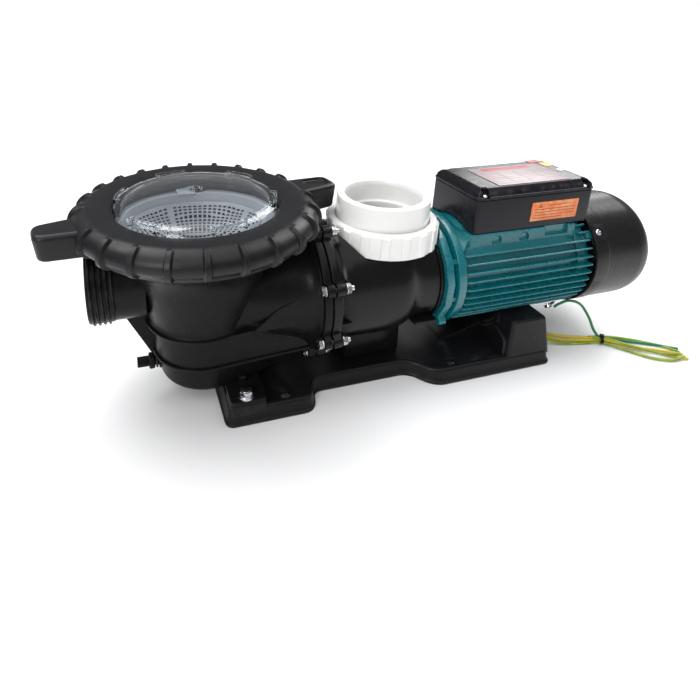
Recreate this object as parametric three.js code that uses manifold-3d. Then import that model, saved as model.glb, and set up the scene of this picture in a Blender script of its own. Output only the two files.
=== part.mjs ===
// Self-priming pool pump: a strainer pot with a clear lid under a threaded ring, a volute with a
// 90 mm solvent union on top, a finned motor with a terminal box, all on one moulded base.
// Millimetres. X runs from the suction port to the motor fan, Z is up, Y = 0 is the mid plane and
// the front is -Y. The origin is on the floor, straight under the discharge axis.
import * as THREE from "three";
import { mergeVertices } from "three/addons/utils/BufferGeometryUtils.js";
import Module from "manifold-3d";

const wasm = await Module();
wasm.setup();

// ---------------------------------------------------------------- driving dimensions
// Plain names such as bore, thread or lip are radii; start and end are places along X;
// inner and outer, on the base, are distances from the mid plane.
const GAP = 0.3; // clearance between pieces that rest on one another
const FACET_SHARE = 0.38; // share of the full count of facets on turned faces

const AXIS_Z = 120.7; // shaft axis above the floor
const POT_X = -227.3; // strainer pot axis

const BASE = {
  start: -215.2, end: 217.7, halfWidth: 85.7, waist: 56, // waist: half width beside the volute
  top: 18.7, wall: 5, skin: 4.2,
};
const PAD = { start: -209, end: -167, inner: 53, outer: 83.5, top: 24.7 };
const FOOT_TOP = 30;
const FOOT_BOLT = { x: -190, y: 73, hole: 4.6 };
const POST = { start: 151, end: 214, inner: 50, outer: 80.5, top: 67, webTop: 36 };
const SADDLE_BOLT = { x: 196, y: 18, hole: 4.2 };

const RING = { window: 91.2, bore: 116, skirt: 209.6, ribsPerSide: 11, ribPitch: 15, earAngle: 10 };
const COLLAR = { radius: 113, bore: 98, top: 222.5, ledge: 212.6, ledgeBore: 91 };
const LID_SEAL = { radius: 104.5, section: 1.8, z: 220.45 };
const SUCTION = { z: 155, radius: 43, thread: 46, bore: 34, end: -350 };
const DRAIN = { z: 41, x: -279 };

const FLANGE = {
  radius: 82, boltCircle: 86, lug: 7, lugStep: 1.5, hole: 3.4,
  potStart: -103, potEnd: -94.5, voluteStart: -92.5, voluteEnd: -82,
};
const VOLUTE = { radius: 73, end: 50, cavity: 45, cavityStart: -50 };
const NECK = { radius: 52, thread: 61, bore: 45, shoulder: 171.5, top: 188.5 };
const NUT = {
  bottom: 169.3, top: 199.4, lipBottom: 194.5,
  radius: 65.9, rib: 67.5, bore: 61.9, lip: 57.2, ribs: 18,
};
const TAIL = { bore: 41, socket: 45, outer: 55.8, flange: 61, bottom: 189, top: 227, stop: 200 };

const MOTOR = {
  flange: 73, start: 55, flangeEnd: 64.5, ring: 73.2, ringStart: 71,
  tube: 64.5, bore: 60.3, fin: 72.5, tubeStart: 80.5, tubeEnd: 252, finEnd: 264,
};
const CORE = { start: 100, end: 220 }; // rotor and stator stacks
const COVER = { start: 270.7, end: 372, radius: 74, wall: 2.6 };
const COVER_SCREW = { x: 278, front: 51, back: 309 }; // angles about the shaft
const COVER_LUG_ANGLES = [COVER_SCREW.front, 129, 231, COVER_SCREW.back];
const BOX = {
  start: 100.7, end: 270, halfWidth: 45.1, bottom: 179, rim: 222.2, top: 236.5,
  wall: 3, floor: 10.5, // floor: height of its upper face over the box's bottom
};
const BOX_LEAD_HOLE = { x: 232, radius: 9 };

// ---------------------------------------------------------------- solids
// A closed three.js geometry as a solid, whichever way its faces were wound.
function solid(geometry) {
  for (const name of Object.keys(geometry.attributes)) {
    if (name !== "position") geometry.deleteAttribute(name);
  }
  const merged = mergeVertices(geometry, 1e-4);
  const index = merged.index.array;
  const corners = [];
  for (let i = 0; i < index.length; i += 3) {
    const [a, b, c] = [index[i], index[i + 1], index[i + 2]];
    if (a !== b && b !== c && c !== a) corners.push(a, b, c);
  }
  const make = () =>
    new wasm.Manifold(
      new wasm.Mesh({
        numProp: 3,
        vertProperties: new Float32Array(merged.attributes.position.array),
        triVerts: new Uint32Array(corners),
      }),
    );
  const made = make();
  if (made.volume() >= 0) return made;
  for (let i = 0; i < corners.length; i += 3) {
    [corners[i + 1], corners[i + 2]] = [corners[i + 2], corners[i + 1]];
  }
  return make();
}

// A solid back as a faceted three.js geometry.
function geometryOf(made) {
  const mesh = made.getMesh();
  const geometry = new THREE.BufferGeometry()
    .setAttribute("position", new THREE.BufferAttribute(mesh.vertProperties, 3))
    .setIndex(new THREE.BufferAttribute(mesh.triVerts, 1))
    .toNonIndexed();
  geometry.computeVertexNormals();
  return geometry;
}

const join = (...parts) => parts.flat().reduce((sum, part) => sum.add(part));
const cut = (body, ...tools) => tools.flat().reduce((rest, tool) => rest.subtract(tool), body);
const middle = (low, high) => (low + high) / 2;
const facets = (full) => Math.max(8, 2 * Math.round(full * FACET_SHARE * 0.5));

// Turned pieces: a profile of [radius, height along the axis], closed on itself.
const turned = (profile, segments) =>
  new THREE.LatheGeometry(
    [...profile, profile[0]].map(([radius, height]) => new THREE.Vector2(radius, height)),
    facets(segments),
  );
const latheZ = (profile, segments) => solid(turned(profile, segments).rotateX(Math.PI / 2));
const latheX = (profile, segments, z = 0) =>
  solid(turned(profile, segments).rotateZ(-Math.PI / 2).translate(0, 0, z));

function box(xMin, xMax, yMin, yMax, zMin, zMax) {
  const block = new THREE.BoxGeometry(xMax - xMin, yMax - yMin, zMax - zMin);
  return solid(block.translate(middle(xMin, xMax), middle(yMin, yMax), middle(zMin, zMax)));
}

// Prisms with an exact count of sides, then cylinders whose count is scaled.
const prism = (radius, length, sides) => new THREE.CylinderGeometry(radius, radius, length, sides);
const prismX = (radius, start, end, sides, y = 0, z = 0) =>
  solid(prism(radius, end - start, sides).rotateZ(-Math.PI / 2).translate(middle(start, end), y, z));
const prismY = (radius, start, end, sides, x = 0, z = 0) =>
  solid(prism(radius, end - start, sides).translate(x, middle(start, end), z));
const prismZ = (radius, start, end, sides, x = 0, y = 0) =>
  solid(prism(radius, end - start, sides).rotateX(Math.PI / 2).translate(x, y, middle(start, end)));
const cylX = (radius, start, end, segments, y, z) =>
  prismX(radius, start, end, facets(segments), y, z);
const cylY = (radius, start, end, segments, x, z) =>
  prismY(radius, start, end, facets(segments), x, z);
const cylZ = (radius, start, end, segments, x, y) =>
  prismZ(radius, start, end, facets(segments), x, y);
const hexHead = (across, height, bottom) =>
  prismZ(across / Math.sqrt(3), bottom, bottom + height, 6);

// An outline with its corners rounded: points of [x, y, corner radius].
function outline(points) {
  const shape = new THREE.Shape();
  const count = points.length;
  points.forEach(([x, y, radius = 0], i) => {
    const [lastX, lastY] = points[(i + count - 1) % count];
    const [nextX, nextY] = points[(i + 1) % count];
    const toLast = radius / Math.hypot(lastX - x, lastY - y);
    const toNext = radius / Math.hypot(nextX - x, nextY - y);
    const cornerStart = [x + (lastX - x) * toLast, y + (lastY - y) * toLast];
    if (i === 0) shape.moveTo(...cornerStart);
    else shape.lineTo(...cornerStart);
    if (radius > 0) {
      shape.quadraticCurveTo(x, y, x + (nextX - x) * toNext, y + (nextY - y) * toNext);
    }
  });
  shape.closePath();
  return shape;
}

// A plan outline from its -Y half, mirrored over the mid plane.
const mirroredPlan = (half) =>
  outline([...half, ...half.map(([x, y, radius]) => [x, -y, radius]).reverse()]);
const centredPlan = (xMin, xMax, halfWidth, radius) =>
  mirroredPlan([[xMin, -halfWidth, radius], [xMax, -halfWidth, radius]]);

// A rectangular plan at one side, between two distances from the mid plane.
function sidePlan(side, xMin, xMax, inner, outer, innerRadius, outerRadius) {
  const near = [side * inner, innerRadius];
  const far = [side * outer, outerRadius];
  const [low, high] = side > 0 ? [near, far] : [far, near];
  return outline([[xMin, ...low], [xMax, ...low], [xMax, ...high], [xMin, ...high]]);
}

// The plan outline of an arc round a centre on Y = 0, run out to a straight end along +X.
function keyhole(centreX, radius, endX, halfEnd) {
  const steps = 12;
  const opening = 0.98 * Math.acos((radius - halfEnd) / (endX - centreX + 40));
  const points = [];
  for (let i = 0; i <= steps; i++) {
    const angle = opening + ((2 * Math.PI - 2 * opening) * i) / steps;
    points.push([centreX + radius * Math.cos(angle), radius * Math.sin(angle)]);
  }
  points.push([endX, -halfEnd], [endX, halfEnd]);
  return outline(points);
}

const extrude = (shape, depth, curveSegments) =>
  new THREE.ExtrudeGeometry(shape, { depth, bevelEnabled: false, curveSegments });

// A plan outline pulled up along Z; `moveTop` shifts the upper outline for draft.
function slab(shape, bottom, top, segments = 4, moveTop = null) {
  const geometry = extrude(shape, top - bottom, segments);
  if (moveTop) {
    const places = geometry.attributes.position;
    for (let i = 0; i < places.count; i++) {
      if (places.getZ(i) > (top - bottom) / 2) {
        places.setXY(i, ...moveTop(places.getX(i), places.getY(i)));
      }
    }
  }
  return solid(geometry.translate(0, 0, bottom));
}
// An outline of [x, z] points given thickness along Y.
const plateY = (points, start, end) =>
  solid(extrude(outline(points), end - start, 4).rotateX(Math.PI / 2).translate(0, end, 0));
// An outline given thickness along X, from its +Y half of [y, z, corner radius] points.
function plateX(half, start, end) {
  const mirror = half.map(([y, z, radius]) => [-y, z, radius]).reverse();
  const plate = extrude(outline([...half, ...mirror]), end - start, 4);
  return solid(plate.rotateX(Math.PI / 2).rotateZ(Math.PI / 2).translate(start, 0, 0));
}

const torus = (radius, section, around) => new THREE.TorusGeometry(radius, section, 4, around);
const torusZ = (radius, section, z, around) =>
  solid(torus(radius, section, around).translate(0, 0, z));
const torusX = (radius, section, x, around) =>
  solid(torus(radius, section, around).rotateY(Math.PI / 2).translate(x, 0, 0));

// A round lead along a smooth path.
function lead(path, radius) {
  const places = path.map((place) => new THREE.Vector3(...place));
  const section = new THREE.Shape();
  section.absarc(0, 0, radius, 0, 2 * Math.PI, false);
  return solid(
    new THREE.ExtrudeGeometry(section, {
      steps: 2 * (path.length - 1),
      curveSegments: 3,
      extrudePath: new THREE.CatmullRomCurve3(places, false, "centripetal"),
    }),
  );
}

// Repeats: at both sides of the mid plane, or turned to a list of angles in degrees.
const bothSides = (make) => [make(1), make(-1)];
const sideBoxes = (xMin, xMax, inner, outer, zMin, zMax) => [
  box(xMin, xMax, inner, outer, zMin, zMax),
  box(xMin, xMax, -outer, -inner, zMin, zMax),
];
const angles = (count, first = 0, pitch = 360 / count) =>
  Array.from({ length: count }, (_, i) => first + pitch * i);
const aboutX = (part, turns) => turns.map((turn) => part.rotate([turn, 0, 0]));
const aboutZ = (part, turns) => turns.map((turn) => part.rotate([0, 0, turn]));

// ---------------------------------------------------------------- materials
const finish = (settings) => () => new THREE.MeshStandardMaterial(settings);
const blackPlastic = finish({ color: 0x141416, roughness: 0.45 });
const boxPlastic = finish({ color: 0x1a181d, roughness: 0.35 });
const clearPlastic = finish({ color: 0xe8eef2, roughness: 0.08, transparent: true, opacity: 0.35 });
const basketPlastic = finish({ color: 0xc9ced4, roughness: 0.4 });
const whitePlastic = finish({ color: 0xf2f2ef, roughness: 0.25 });
const tealPaint = finish({ color: 0x0a5f64, roughness: 0.35, metalness: 0.3 });
const rubber = finish({ color: 0x0c0c0c, roughness: 0.8 });
const steel = finish({ color: 0xb9bcc0, roughness: 0.25, metalness: 1 });
const bareSteel = finish({ color: 0x8a8d92, roughness: 0.4, metalness: 0.9 });
const copper = finish({ color: 0x8f4a24, roughness: 0.45, metalness: 0.6 });
const impellerPlastic = finish({ color: 0x35373b, roughness: 0.5 });
const ceramic = finish({ color: 0xe7e2d6, roughness: 0.3 });
const lamination = finish({ color: 0x4b4d50, roughness: 0.55, metalness: 0.7 });
const greenWire = finish({ color: 0x0f6b33, roughness: 0.45 });
const yellowWire = finish({ color: 0xd0b315, roughness: 0.45 });
const orangeFilm = finish({ color: 0xd3621e, roughness: 0.5 });
const paleFilm = finish({ color: 0xd9bfc2, roughness: 0.45, metalness: 0.1 });
const capShell = finish({ color: 0xdcdcd6, roughness: 0.4 });

// ---------------------------------------------------------------- groups
const group = new THREE.Group();
function frameAt(x, y, z) {
  const frame = new THREE.Group();
  frame.position.set(x, y, z);
  group.add(frame);
  return frame;
}
const baseGroup = frameAt(0, 0, 0);
const strainerGroup = frameAt(POT_X, 0, 0);
const voluteGroup = frameAt(0, 0, AXIS_Z);
const unionGroup = frameAt(0, 0, 0);
const motorGroup = frameAt(0, 0, AXIS_Z);
const boxGroup = frameAt(middle(BOX.start, BOX.end), 0, BOX.bottom);

function put(parent, name, made, material, position = [0, 0, 0]) {
  const mesh = new THREE.Mesh(geometryOf(made), material());
  mesh.name = name;
  mesh.position.set(...position);
  parent.add(mesh);
}

const inPot = (x) => x - POT_X; // x measured from the pot's axis
const fromAxis = (z) => z - AXIS_Z; // height measured from the shaft axis
const footHoles = (top, bottom, x) =>
  bothSides((side) => cylZ(FOOT_BOLT.hole, bottom, top, 12, x, side * FOOT_BOLT.y));
const saddleHoles = (bottom, top) =>
  bothSides((side) =>
    cylZ(SADDLE_BOLT.hole, bottom, top, 12, SADDLE_BOLT.x, side * SADDLE_BOLT.y),
  );

// Places of the flange bolts as [y, z] from the shaft axis.
const FLANGE_BOLTS = angles(8, 22.5).map((angle) => {
  const turn = (angle * Math.PI) / 180;
  return [FLANGE.boltCircle * Math.sin(turn), FLANGE.boltCircle * Math.cos(turn)];
});
const atFlangeBolts = (radius, start, end, segments, axisHeight = 0) =>
  FLANGE_BOLTS.map(([y, z]) => cylX(radius, start, end, segments, y, axisHeight + z));

// An upright cylinder on the discharge axis that clears the union nut by `drop` below it.
const nutClearance = (radius, drop, segments) =>
  cylZ(radius, fromAxis(NUT.bottom - drop), 100, segments);

// ---------------------------------------------------------------- base
const FUSE = BASE.top - 1; // raised parts start inside the plate

function baseSlab() {
  const { start, end, halfWidth: wide, waist } = BASE;
  const plan = mirroredPlan([
    [start, -wide, 10], [-108, -wide, 12], [-103, -waist, 7],
    [26, -waist, 12], [47, -wide, 14], [end, -wide, 10],
  ]);
  return slab(plan, 0, BASE.top);
}

// The moulding is open underneath, between a rib along the middle and ribs across it.
function basePockets() {
  const { start, end, wall } = BASE;
  const wide = BASE.halfWidth - wall - 3;
  const waist = BASE.waist - wall;
  // [start, end, outer distance from the mid plane]
  const bays = [
    [start + wall, -162, wide], [-158, -115, wide],
    [-98, -52, waist], [-48, -3, waist], [3, 22, waist],
    [56, 100, wide], [104, 146, wide], [150, end - wall, wide],
  ];
  return bays.flatMap(([xMin, xMax, outer]) =>
    sideBoxes(xMin, xMax, 3, outer, -1, BASE.top - BASE.skin),
  );
}

const basePad = (side) =>
  slab(sidePlan(side, PAD.start, PAD.end, PAD.inner, PAD.outer, 4, 4), FUSE, PAD.top, 2);

// A motor saddle post, leaning in towards the top.
function saddlePost(side) {
  const plan = sidePlan(side, POST.start - 3, POST.end + 3, POST.inner, POST.outer, 0, 5);
  return slab(plan, FUSE, POST.top, 2, (x, y) => [
    x > 180 ? x - (x - 180) * 0.35 : x + (150 - x) * 0.2 + 4,
    Math.abs(y) > 70 ? y - side * 3 : y,
  ]);
}

// The web between the posts, low in the middle, and the wall at its -X end.
function saddleWeb() {
  const reach = POST.inner + 2;
  const web = [[reach, FUSE, 0], [reach, 60, 0], [40, 47, 6], [27, POST.webTop, 6]];
  const wall = [[44, FUSE], [40, POST.webTop]];
  return [plateX(web, POST.start, 208), plateX(wall, POST.start - 7, POST.start + 1)];
}

function basePlate() {
  const slots = [71, -148].map((x) => sideBoxes(x, x + 12, 64, 74, -1, BASE.top + 2));
  return cut(
    join(baseSlab(), bothSides(basePad), bothSides(saddlePost), saddleWeb()),
    basePockets(),
    sideBoxes(157, 208, 8, 43, -1, POST.webTop - 6), // under the web
    sideBoxes(157, 205, 55, 75, -1, POST.top - 7), // inside the posts
    slots.flat(),
    footHoles(40, -1, FOOT_BOLT.x),
    saddleHoles(15, 60),
    cylX(9, 195, 230, 12, -30, 34), // for the yellow lead
  );
}
put(baseGroup, "base_plate", basePlate(), blackPlastic);

// A hexagon bolt with a washer, its shank running down through the pot's foot and the base.
function footBolt() {
  const seat = FOOT_TOP + GAP;
  return join(
    cylZ(8.5, seat, seat + 1.8, 20),
    hexHead(13, 6.2, seat + 1.6),
    cylZ(4, 6, FOOT_TOP + 2, 12),
  );
}
for (const [side, name] of [[-1, "front"], [1, "back"]]) {
  const place = [FOOT_BOLT.x, side * FOOT_BOLT.y, 0];
  put(baseGroup, `foot_bolt_${name}`, footBolt(), steel, place);
}

// ---------------------------------------------------------------- strainer pot
const POT_FLANGE = { start: inPot(FLANGE.potStart), end: inPot(FLANGE.potEnd) };
const POT_REACH = POT_FLANGE.start + 2; // the pot's walls run this far into its flange
const DRAIN_X = inPot(DRAIN.x);

function potBody() {
  const upper = latheZ(
    [
      [0, 96], [61, 96], [64.6, 99.5], [64.6, 102.5], [61, 104.5], [60.5, 108], [72, 150],
      [80, 174], [93, 192], [108, 203], [COLLAR.radius, 208], [COLLAR.radius, COLLAR.top],
      [0, COLLAR.top],
    ],
    60,
  );
  const neck = latheX([[0, 40], [58, 40], [66, POT_REACH], [0, POT_REACH]], 40, AXIS_Z);
  const widenPort = (x, y) => [x < 0 ? x * 1.06 : x, y];
  return join(
    upper,
    slab(keyhole(0, 56, POT_REACH, 46), 58.5, 97, 4, widenPort), // middle
    slab(keyhole(0, 57.5, POT_REACH, 47), 57, 61), // lower ledge
    slab(keyhole(0, 64.6, POT_REACH, 49), 98.5, 102.5), // upper ledge
    slab(keyhole(4, 53.5, 100, 30), 26, 58, 4, (x, y) => [x * 1.03, y * 1.03]), // bottom
    neck,
    slab(keyhole(0, 60, POT_REACH, 40), 102, 150), // over the neck
  );
}

const potFlange = () => [
  cylX(FLANGE.radius, POT_FLANGE.start, POT_FLANGE.end, 56, 0, AXIS_Z),
  ...atFlangeBolts(FLANGE.lug, POT_FLANGE.start - FLANGE.lugStep, POT_FLANGE.end, 16, AXIS_Z),
];

function suctionPort() {
  const { radius, thread } = SUCTION;
  const end = inPot(SUCTION.end);
  const pitch = 6;
  const firstCrest = inPot(-323.5);
  const turns = [0, 1, 2].flatMap((i) => [
    [thread, firstCrest - pitch * i],
    [radius + 0.8, firstCrest - 4.5 - pitch * i],
  ]);
  return latheX(
    [
      [0, -60], [radius, -60], [radius, inPot(-322)], ...turns,
      [thread, firstCrest - 3 * pitch], [thread, end + 3], [radius + 0.6, end], [0, end],
    ],
    40,
    SUCTION.z,
  );
}

function suctionGusset() {
  const points = [[-316, 116], [-285, 53], [-262, 53], [-250, 116]];
  return plateY(points.map(([x, z]) => [inPot(x), z]), -4, 4);
}

// A lug at each side reaches out over the base pad.
function potFoot(side) {
  const plan = sidePlan(side, inPot(PAD.start + 1), inPot(PAD.end - 1), 35, 82, 0, 6);
  return slab(plan, PAD.top + GAP, FOOT_TOP, 2);
}

function strainerHousing() {
  const boss = cylX(10.5, DRAIN_X + 1, -30, 20, 0, DRAIN.z);
  const { bore, ledge, ledgeBore } = COLLAR;
  const inside = latheZ(
    [
      [0, 31], [40, 31], [47, 40], [51, 100], [56, 106], [67.5, 150], [75.5, 173], [87, 191],
      [ledgeBore, 199], [ledgeBore, ledge], [bore, ledge], [bore, 240], [0, 240],
    ],
    48,
  );
  const sealGroove = latheZ([[100.8, 218.2], [107.8, 218.2], [107.8, 230], [100.8, 230]], 60);
  return cut(
    join(potBody(), potFlange(), suctionPort(), suctionGusset(), boss, bothSides(potFoot)),
    inside,
    cylX(46, 0, POT_FLANGE.end + 2, 40, 0, AXIS_Z), // passage to the volute
    cylX(SUCTION.bore, inPot(SUCTION.end) - 2, -20, 36, 0, SUCTION.z),
    sealGroove,
    cylX(6.4, DRAIN_X - 5, -20, 16, 0, DRAIN.z),
    atFlangeBolts(FLANGE.hole, POT_FLANGE.start - 4, POT_FLANGE.end + 1, 10, AXIS_Z),
    footHoles(FOOT_TOP + 6, 20, inPot(FOOT_BOLT.x)),
  );
}
put(strainerGroup, "strainer_housing", strainerHousing(), blackPlastic);

const lidSeal = torusZ(LID_SEAL.radius, LID_SEAL.section, LID_SEAL.z, 24);
put(strainerGroup, "lid_oring", lidSeal, rubber);

// Basket: tapered, hung by its rim on the ledge, with an opening that faces the suction port.
function basket() {
  const { ledge } = COLLAR;
  const shell = latheZ(
    [
      [0, 106], [50, 106], [60.5, 150], [68.5, 174], [80, 191], [87, 203], [88, ledge + GAP],
      [96.5, ledge + GAP], [96.5, ledge + 3], [85.6, ledge + 3], [84.6, 204], [77.8, 192.3],
      [66.3, 175.3], [58.4, 151], [48.4, 108.2], [0, 108.2],
    ],
    48,
  );
  const rimTabs = sideBoxes(-12, 12, 84, 94, ledge + 2.5, ledge + 7);
  return cut(join(shell, rimTabs), cylX(30, -110, -30, 28, 0, SUCTION.z));
}
put(strainerGroup, "strainer_basket", basket(), basketPlastic);

// Clear lid: a flat rim under the ring, a wall up through the window and a shallow dome with a
// centre boss, and six tabs round the wall.
function clearLid() {
  const rimBottom = COLLAR.top + 0.5;
  const shell = latheZ(
    [
      [0, 248.4], [40, 246.6], [68, 242.6], [80, 238], [84.2, 230], [84.2, rimBottom],
      [109.5, rimBottom], [109.5, 229.5], [89.6, 229.5], [89, 240.5], [84, 244.6], [70, 248.2],
      [40, 251.8], [6, 253.2], [5, 255.2], [0, 255.2],
    ],
    48,
  );
  return join(shell, aboutZ(box(80, 88.2, -14, 14, 238, 246.4), angles(6, 20)));
}
put(strainerGroup, "clear_lid", clearLid(), clearPlastic);

// Ring: rounded rim with raised grip ribs and two ears hollowed from above. Its thread over the
// collar is left plain.
function lidRing() {
  const { window, bore, skirt, ribsPerSide, ribPitch, earAngle } = RING;
  const body = latheZ(
    [
      [window, 230.2], [window, 238.2], [93.5, 240], [103, 241.9], [113, 242.4], [122, 240.6],
      [129.5, 236], [133.6, 230], [134, 224.5], [130.5, 219], [124.5, 214.6], [122, skirt],
      [bore, skirt], [bore, 224], [111.5, 227], [111.5, 230.2],
    ],
    66,
  );
  const earAngles = [earAngle, earAngle + 180];
  const rib = plateY([[121, 240], [131.6, 238.6], [136, 231], [136, 223.5], [124, 213]], -2.6, 2.6);
  const ribs = earAngles.flatMap((ear) => aboutZ(rib, angles(ribsPerSide, ear + ribPitch, ribPitch)));
  const ear = slab(
    mirroredPlan([[117.5, -21, 0], [150, -21, 8], [174, -17, 10]]),
    skirt, 238, 3,
    (x, y) => [x > 140 ? x - 3 : x, y * 0.94],
  );
  const hollow = slab(mirroredPlan([[141, -13, 6], [167, -12, 6]]), 229, 240, 2);
  return cut(join(body, ribs, aboutZ(ear, earAngles)), aboutZ(hollow, earAngles));
}
put(strainerGroup, "lid_ring", lidRing(), blackPlastic);

// Drain plug with a flat tab, and its seal against the boss.
function drainPlug() {
  return join(
    cylX(5.9, DRAIN_X + 1, DRAIN_X + 11, 16),
    cylX(9.2, DRAIN_X - 11.5, DRAIN_X - 4.2, 18),
    cylX(5.9, DRAIN_X - 5, DRAIN_X + 2, 16),
    box(DRAIN_X - 25, DRAIN_X - 11, -8, 8, -2, 2),
  );
}
put(strainerGroup, "drain_plug", drainPlug(), blackPlastic, [0, 0, DRAIN.z]);
const drainSeal = torusX(8, 1.4, DRAIN_X - 2.3, 10);
put(strainerGroup, "drain_plug_oring", drainSeal, rubber, [0, 0, DRAIN.z]);

// ---------------------------------------------------------------- volute and hydraulics
const NECK_TOP = fromAxis(NECK.top);
const DRUM_CLEARANCE = 1.1; // between the drum's flattened top and the union nut

// The drum is flattened on top so that the union nut turns clear of it.
function voluteDrum() {
  const { radius, end } = VOLUTE;
  const start = FLANGE.voluteEnd - 2;
  const drum = latheX(
    [
      [0, start], [68, start], [66, -76], [radius, -70], [radius, 12], [64, 26], [64, end],
      [0, end],
    ],
    48,
  );
  return cut(drum, nutClearance(69.5, DRUM_CLEARANCE, 60));
}

const voluteFlange = () => [
  cylX(FLANGE.radius, FLANGE.voluteStart, FLANGE.voluteEnd, 56),
  ...atFlangeBolts(FLANGE.lug, FLANGE.voluteStart, FLANGE.voluteEnd + FLANGE.lugStep, 16),
];

function dischargeRiser() {
  const shoulder = fromAxis(NECK.shoulder);
  return latheZ(
    [
      [0, -62], [34, -62], [46, -54], [NECK.radius, -38], [NECK.radius, shoulder],
      [NECK.thread, shoulder + 1], [NECK.thread, NECK_TOP], [0, NECK_TOP],
    ],
    48,
  );
}

function voluteCasing() {
  const { voluteStart, voluteEnd } = FLANGE;
  const { cavity, cavityStart, end } = VOLUTE;
  const foot = box(-52, 26, -30, 30, fromAxis(BASE.top + GAP), -50);
  const ribs = [box(-84, -30, -3, 3, -80, -40), ...sideBoxes(-84, -40, 30, 62, -4, 4)];
  const faceTop = fromAxis(NUT.bottom - DRUM_CLEARANCE) - 0.1;
  const [grooveBottom, grooveTop] = [NECK_TOP - 3.6, NECK_TOP + 4];
  const groove = [[49.6, grooveBottom], [54.6, grooveBottom], [54.6, grooveTop], [49.6, grooveTop]];
  return cut(
    join(voluteDrum(), voluteFlange(), dischargeRiser(), foot, ribs),
    box(end, 60, -60, 60, -75, faceTop), // trims the riser flush with the drum's end
    cylX(cavity, cavityStart, end + 2, 48),
    cylX(32, voluteStart - 2, cavityStart + 2, 36), // eye
    cylZ(NECK.bore, 20, NECK_TOP + 3, 40),
    latheZ(groove, 50),
    atFlangeBolts(FLANGE.hole, voluteStart - 2, voluteEnd + 4, 10),
  );
}
put(voluteGroup, "volute_casing", voluteCasing(), blackPlastic);

function casingGasket() {
  const [start, end] = [FLANGE.potEnd + GAP, FLANGE.voluteStart - GAP];
  return latheX([[50, start], [78, start], [78, end], [50, end]], 40);
}
put(voluteGroup, "casing_gasket", casingGasket(), rubber);

// Diffuser: an open cup round the impeller, with six notches.
function diffuser() {
  const cup = latheX([[20, -49.6], [41, -49.6], [41, 8], [38.6, 8], [38.6, -46.6], [20, -46.6]], 44);
  return cut(cup, aboutX(box(-34, 12, 34, 50, -6, 6), angles(6, 30)));
}
put(voluteGroup, "diffuser", diffuser(), impellerPlastic);

// Closed impeller: two shrouds, six vanes and a hub on the shaft, tied in by three short vanes.
function impeller() {
  const back = latheX([[9.6, -26], [35, -26], [35, -23], [15, -22], [13, 2.6], [9.6, 2.6]], 36);
  const hub = latheX([[9.6, -36.5], [13, -36.5], [13, -24], [9.6, -24]], 36);
  const front = latheX(
    [
      [15.5, -45.5], [18.5, -45.5], [19, -42.5], [35, -38.5], [35, -36.5], [19, -39.5],
      [15.5, -42],
    ],
    36,
  );
  const hubVane = box(-30, -24, -1.1, 1.1, 11, 26);
  const vane = box(-39, -24, -1.1, 1.1, 18.6, 34.6).rotate([24, 0, 0]).translate([0, 5, 0]);
  return join(back, hub, aboutX(hubVane, angles(3, 10)), aboutX(vane, angles(6)), front);
}
put(voluteGroup, "impeller", impeller(), impellerPlastic);

const impellerScrew = latheX([[0, -42.4], [7, -42.4], [11.5, -40], [11.5, -37], [0, -37]], 24);
put(voluteGroup, "impeller_screw", impellerScrew, steel);

// Shaft seal: the spring head turns with the shaft against a ceramic seat in the seal plate.
const sealHead = latheX(
  [[9.8, 3.4], [14.5, 3.4], [16.5, 7], [16.5, 16], [15, 21], [14.4, 23.6], [9.8, 23.6]],
  32,
);
put(voluteGroup, "seal_head", sealHead, rubber);
put(voluteGroup, "seal_seat", latheX([[11, 24], [18, 24], [18, 32], [11, 32]], 28), ceramic);

function sealPlate() {
  const plate = latheX(
    [
      [18.5, 20], [26, 20], [26, 30], [41, 30], [41, 50.3], [66, 50.3], [66, 54.7], [36, 54.7],
      [36, 37], [12, 37], [12, 32.4], [18.5, 32.4],
    ],
    48,
  );
  return cut(plate, nutClearance(69.8, 1.5, 60));
}
put(voluteGroup, "seal_plate", sealPlate(), blackPlastic);

// Flange bolts: head on the pot side, nut on the volute side.
function flangeBolt() {
  const headEnd = FLANGE.potStart - FLANGE.lugStep - GAP;
  const nutStart = FLANGE.voluteEnd + FLANGE.lugStep + GAP;
  return join(
    prismX(5.8, headEnd - 4.2, headEnd, 6),
    prismX(5.8, nutStart, nutStart + 5, 6),
    cylX(3, FLANGE.potStart - 4, FLANGE.voluteEnd + 11, 12),
  );
}
FLANGE_BOLTS.forEach(([y, z], i) => {
  put(voluteGroup, `flange_bolt_${i + 1}`, flangeBolt(), steel, [0, y, z]);
});

// ---------------------------------------------------------------- discharge union
function unionNut() {
  const { bottom, top, lipBottom, radius, rib, bore, lip, ribs } = NUT;
  const shell = latheZ(
    [
      [bore, bottom], [radius, bottom], [radius, top - 2], [radius - 2, top], [lip, top],
      [lip, lipBottom], [bore, lipBottom],
    ],
    54,
  );
  const gripRib = box(radius - 1.4, rib, -5, 5, bottom, top - 1.5);
  return join(shell, aboutZ(gripRib, angles(ribs, 7)));
}
put(unionGroup, "union_nut", unionNut(), whitePlastic);

function unionTailpiece() {
  const { bore, socket, outer, flange, bottom, top, stop } = TAIL;
  const flangeTop = NUT.lipBottom - GAP - 0.2;
  return latheZ(
    [
      [bore, bottom], [flange, bottom], [flange, flangeTop], [outer, flangeTop],
      [outer, top - 1.5], [outer - 1.5, top], [socket + 1, top], [socket, top - 1],
      [socket, stop], [bore, stop],
    ],
    54,
  );
}
put(unionGroup, "union_tailpiece", unionTailpiece(), whitePlastic);
put(unionGroup, "union_oring", torusZ(52.1, 1.5, NECK.top - 1.9, 20), rubber);

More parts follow.
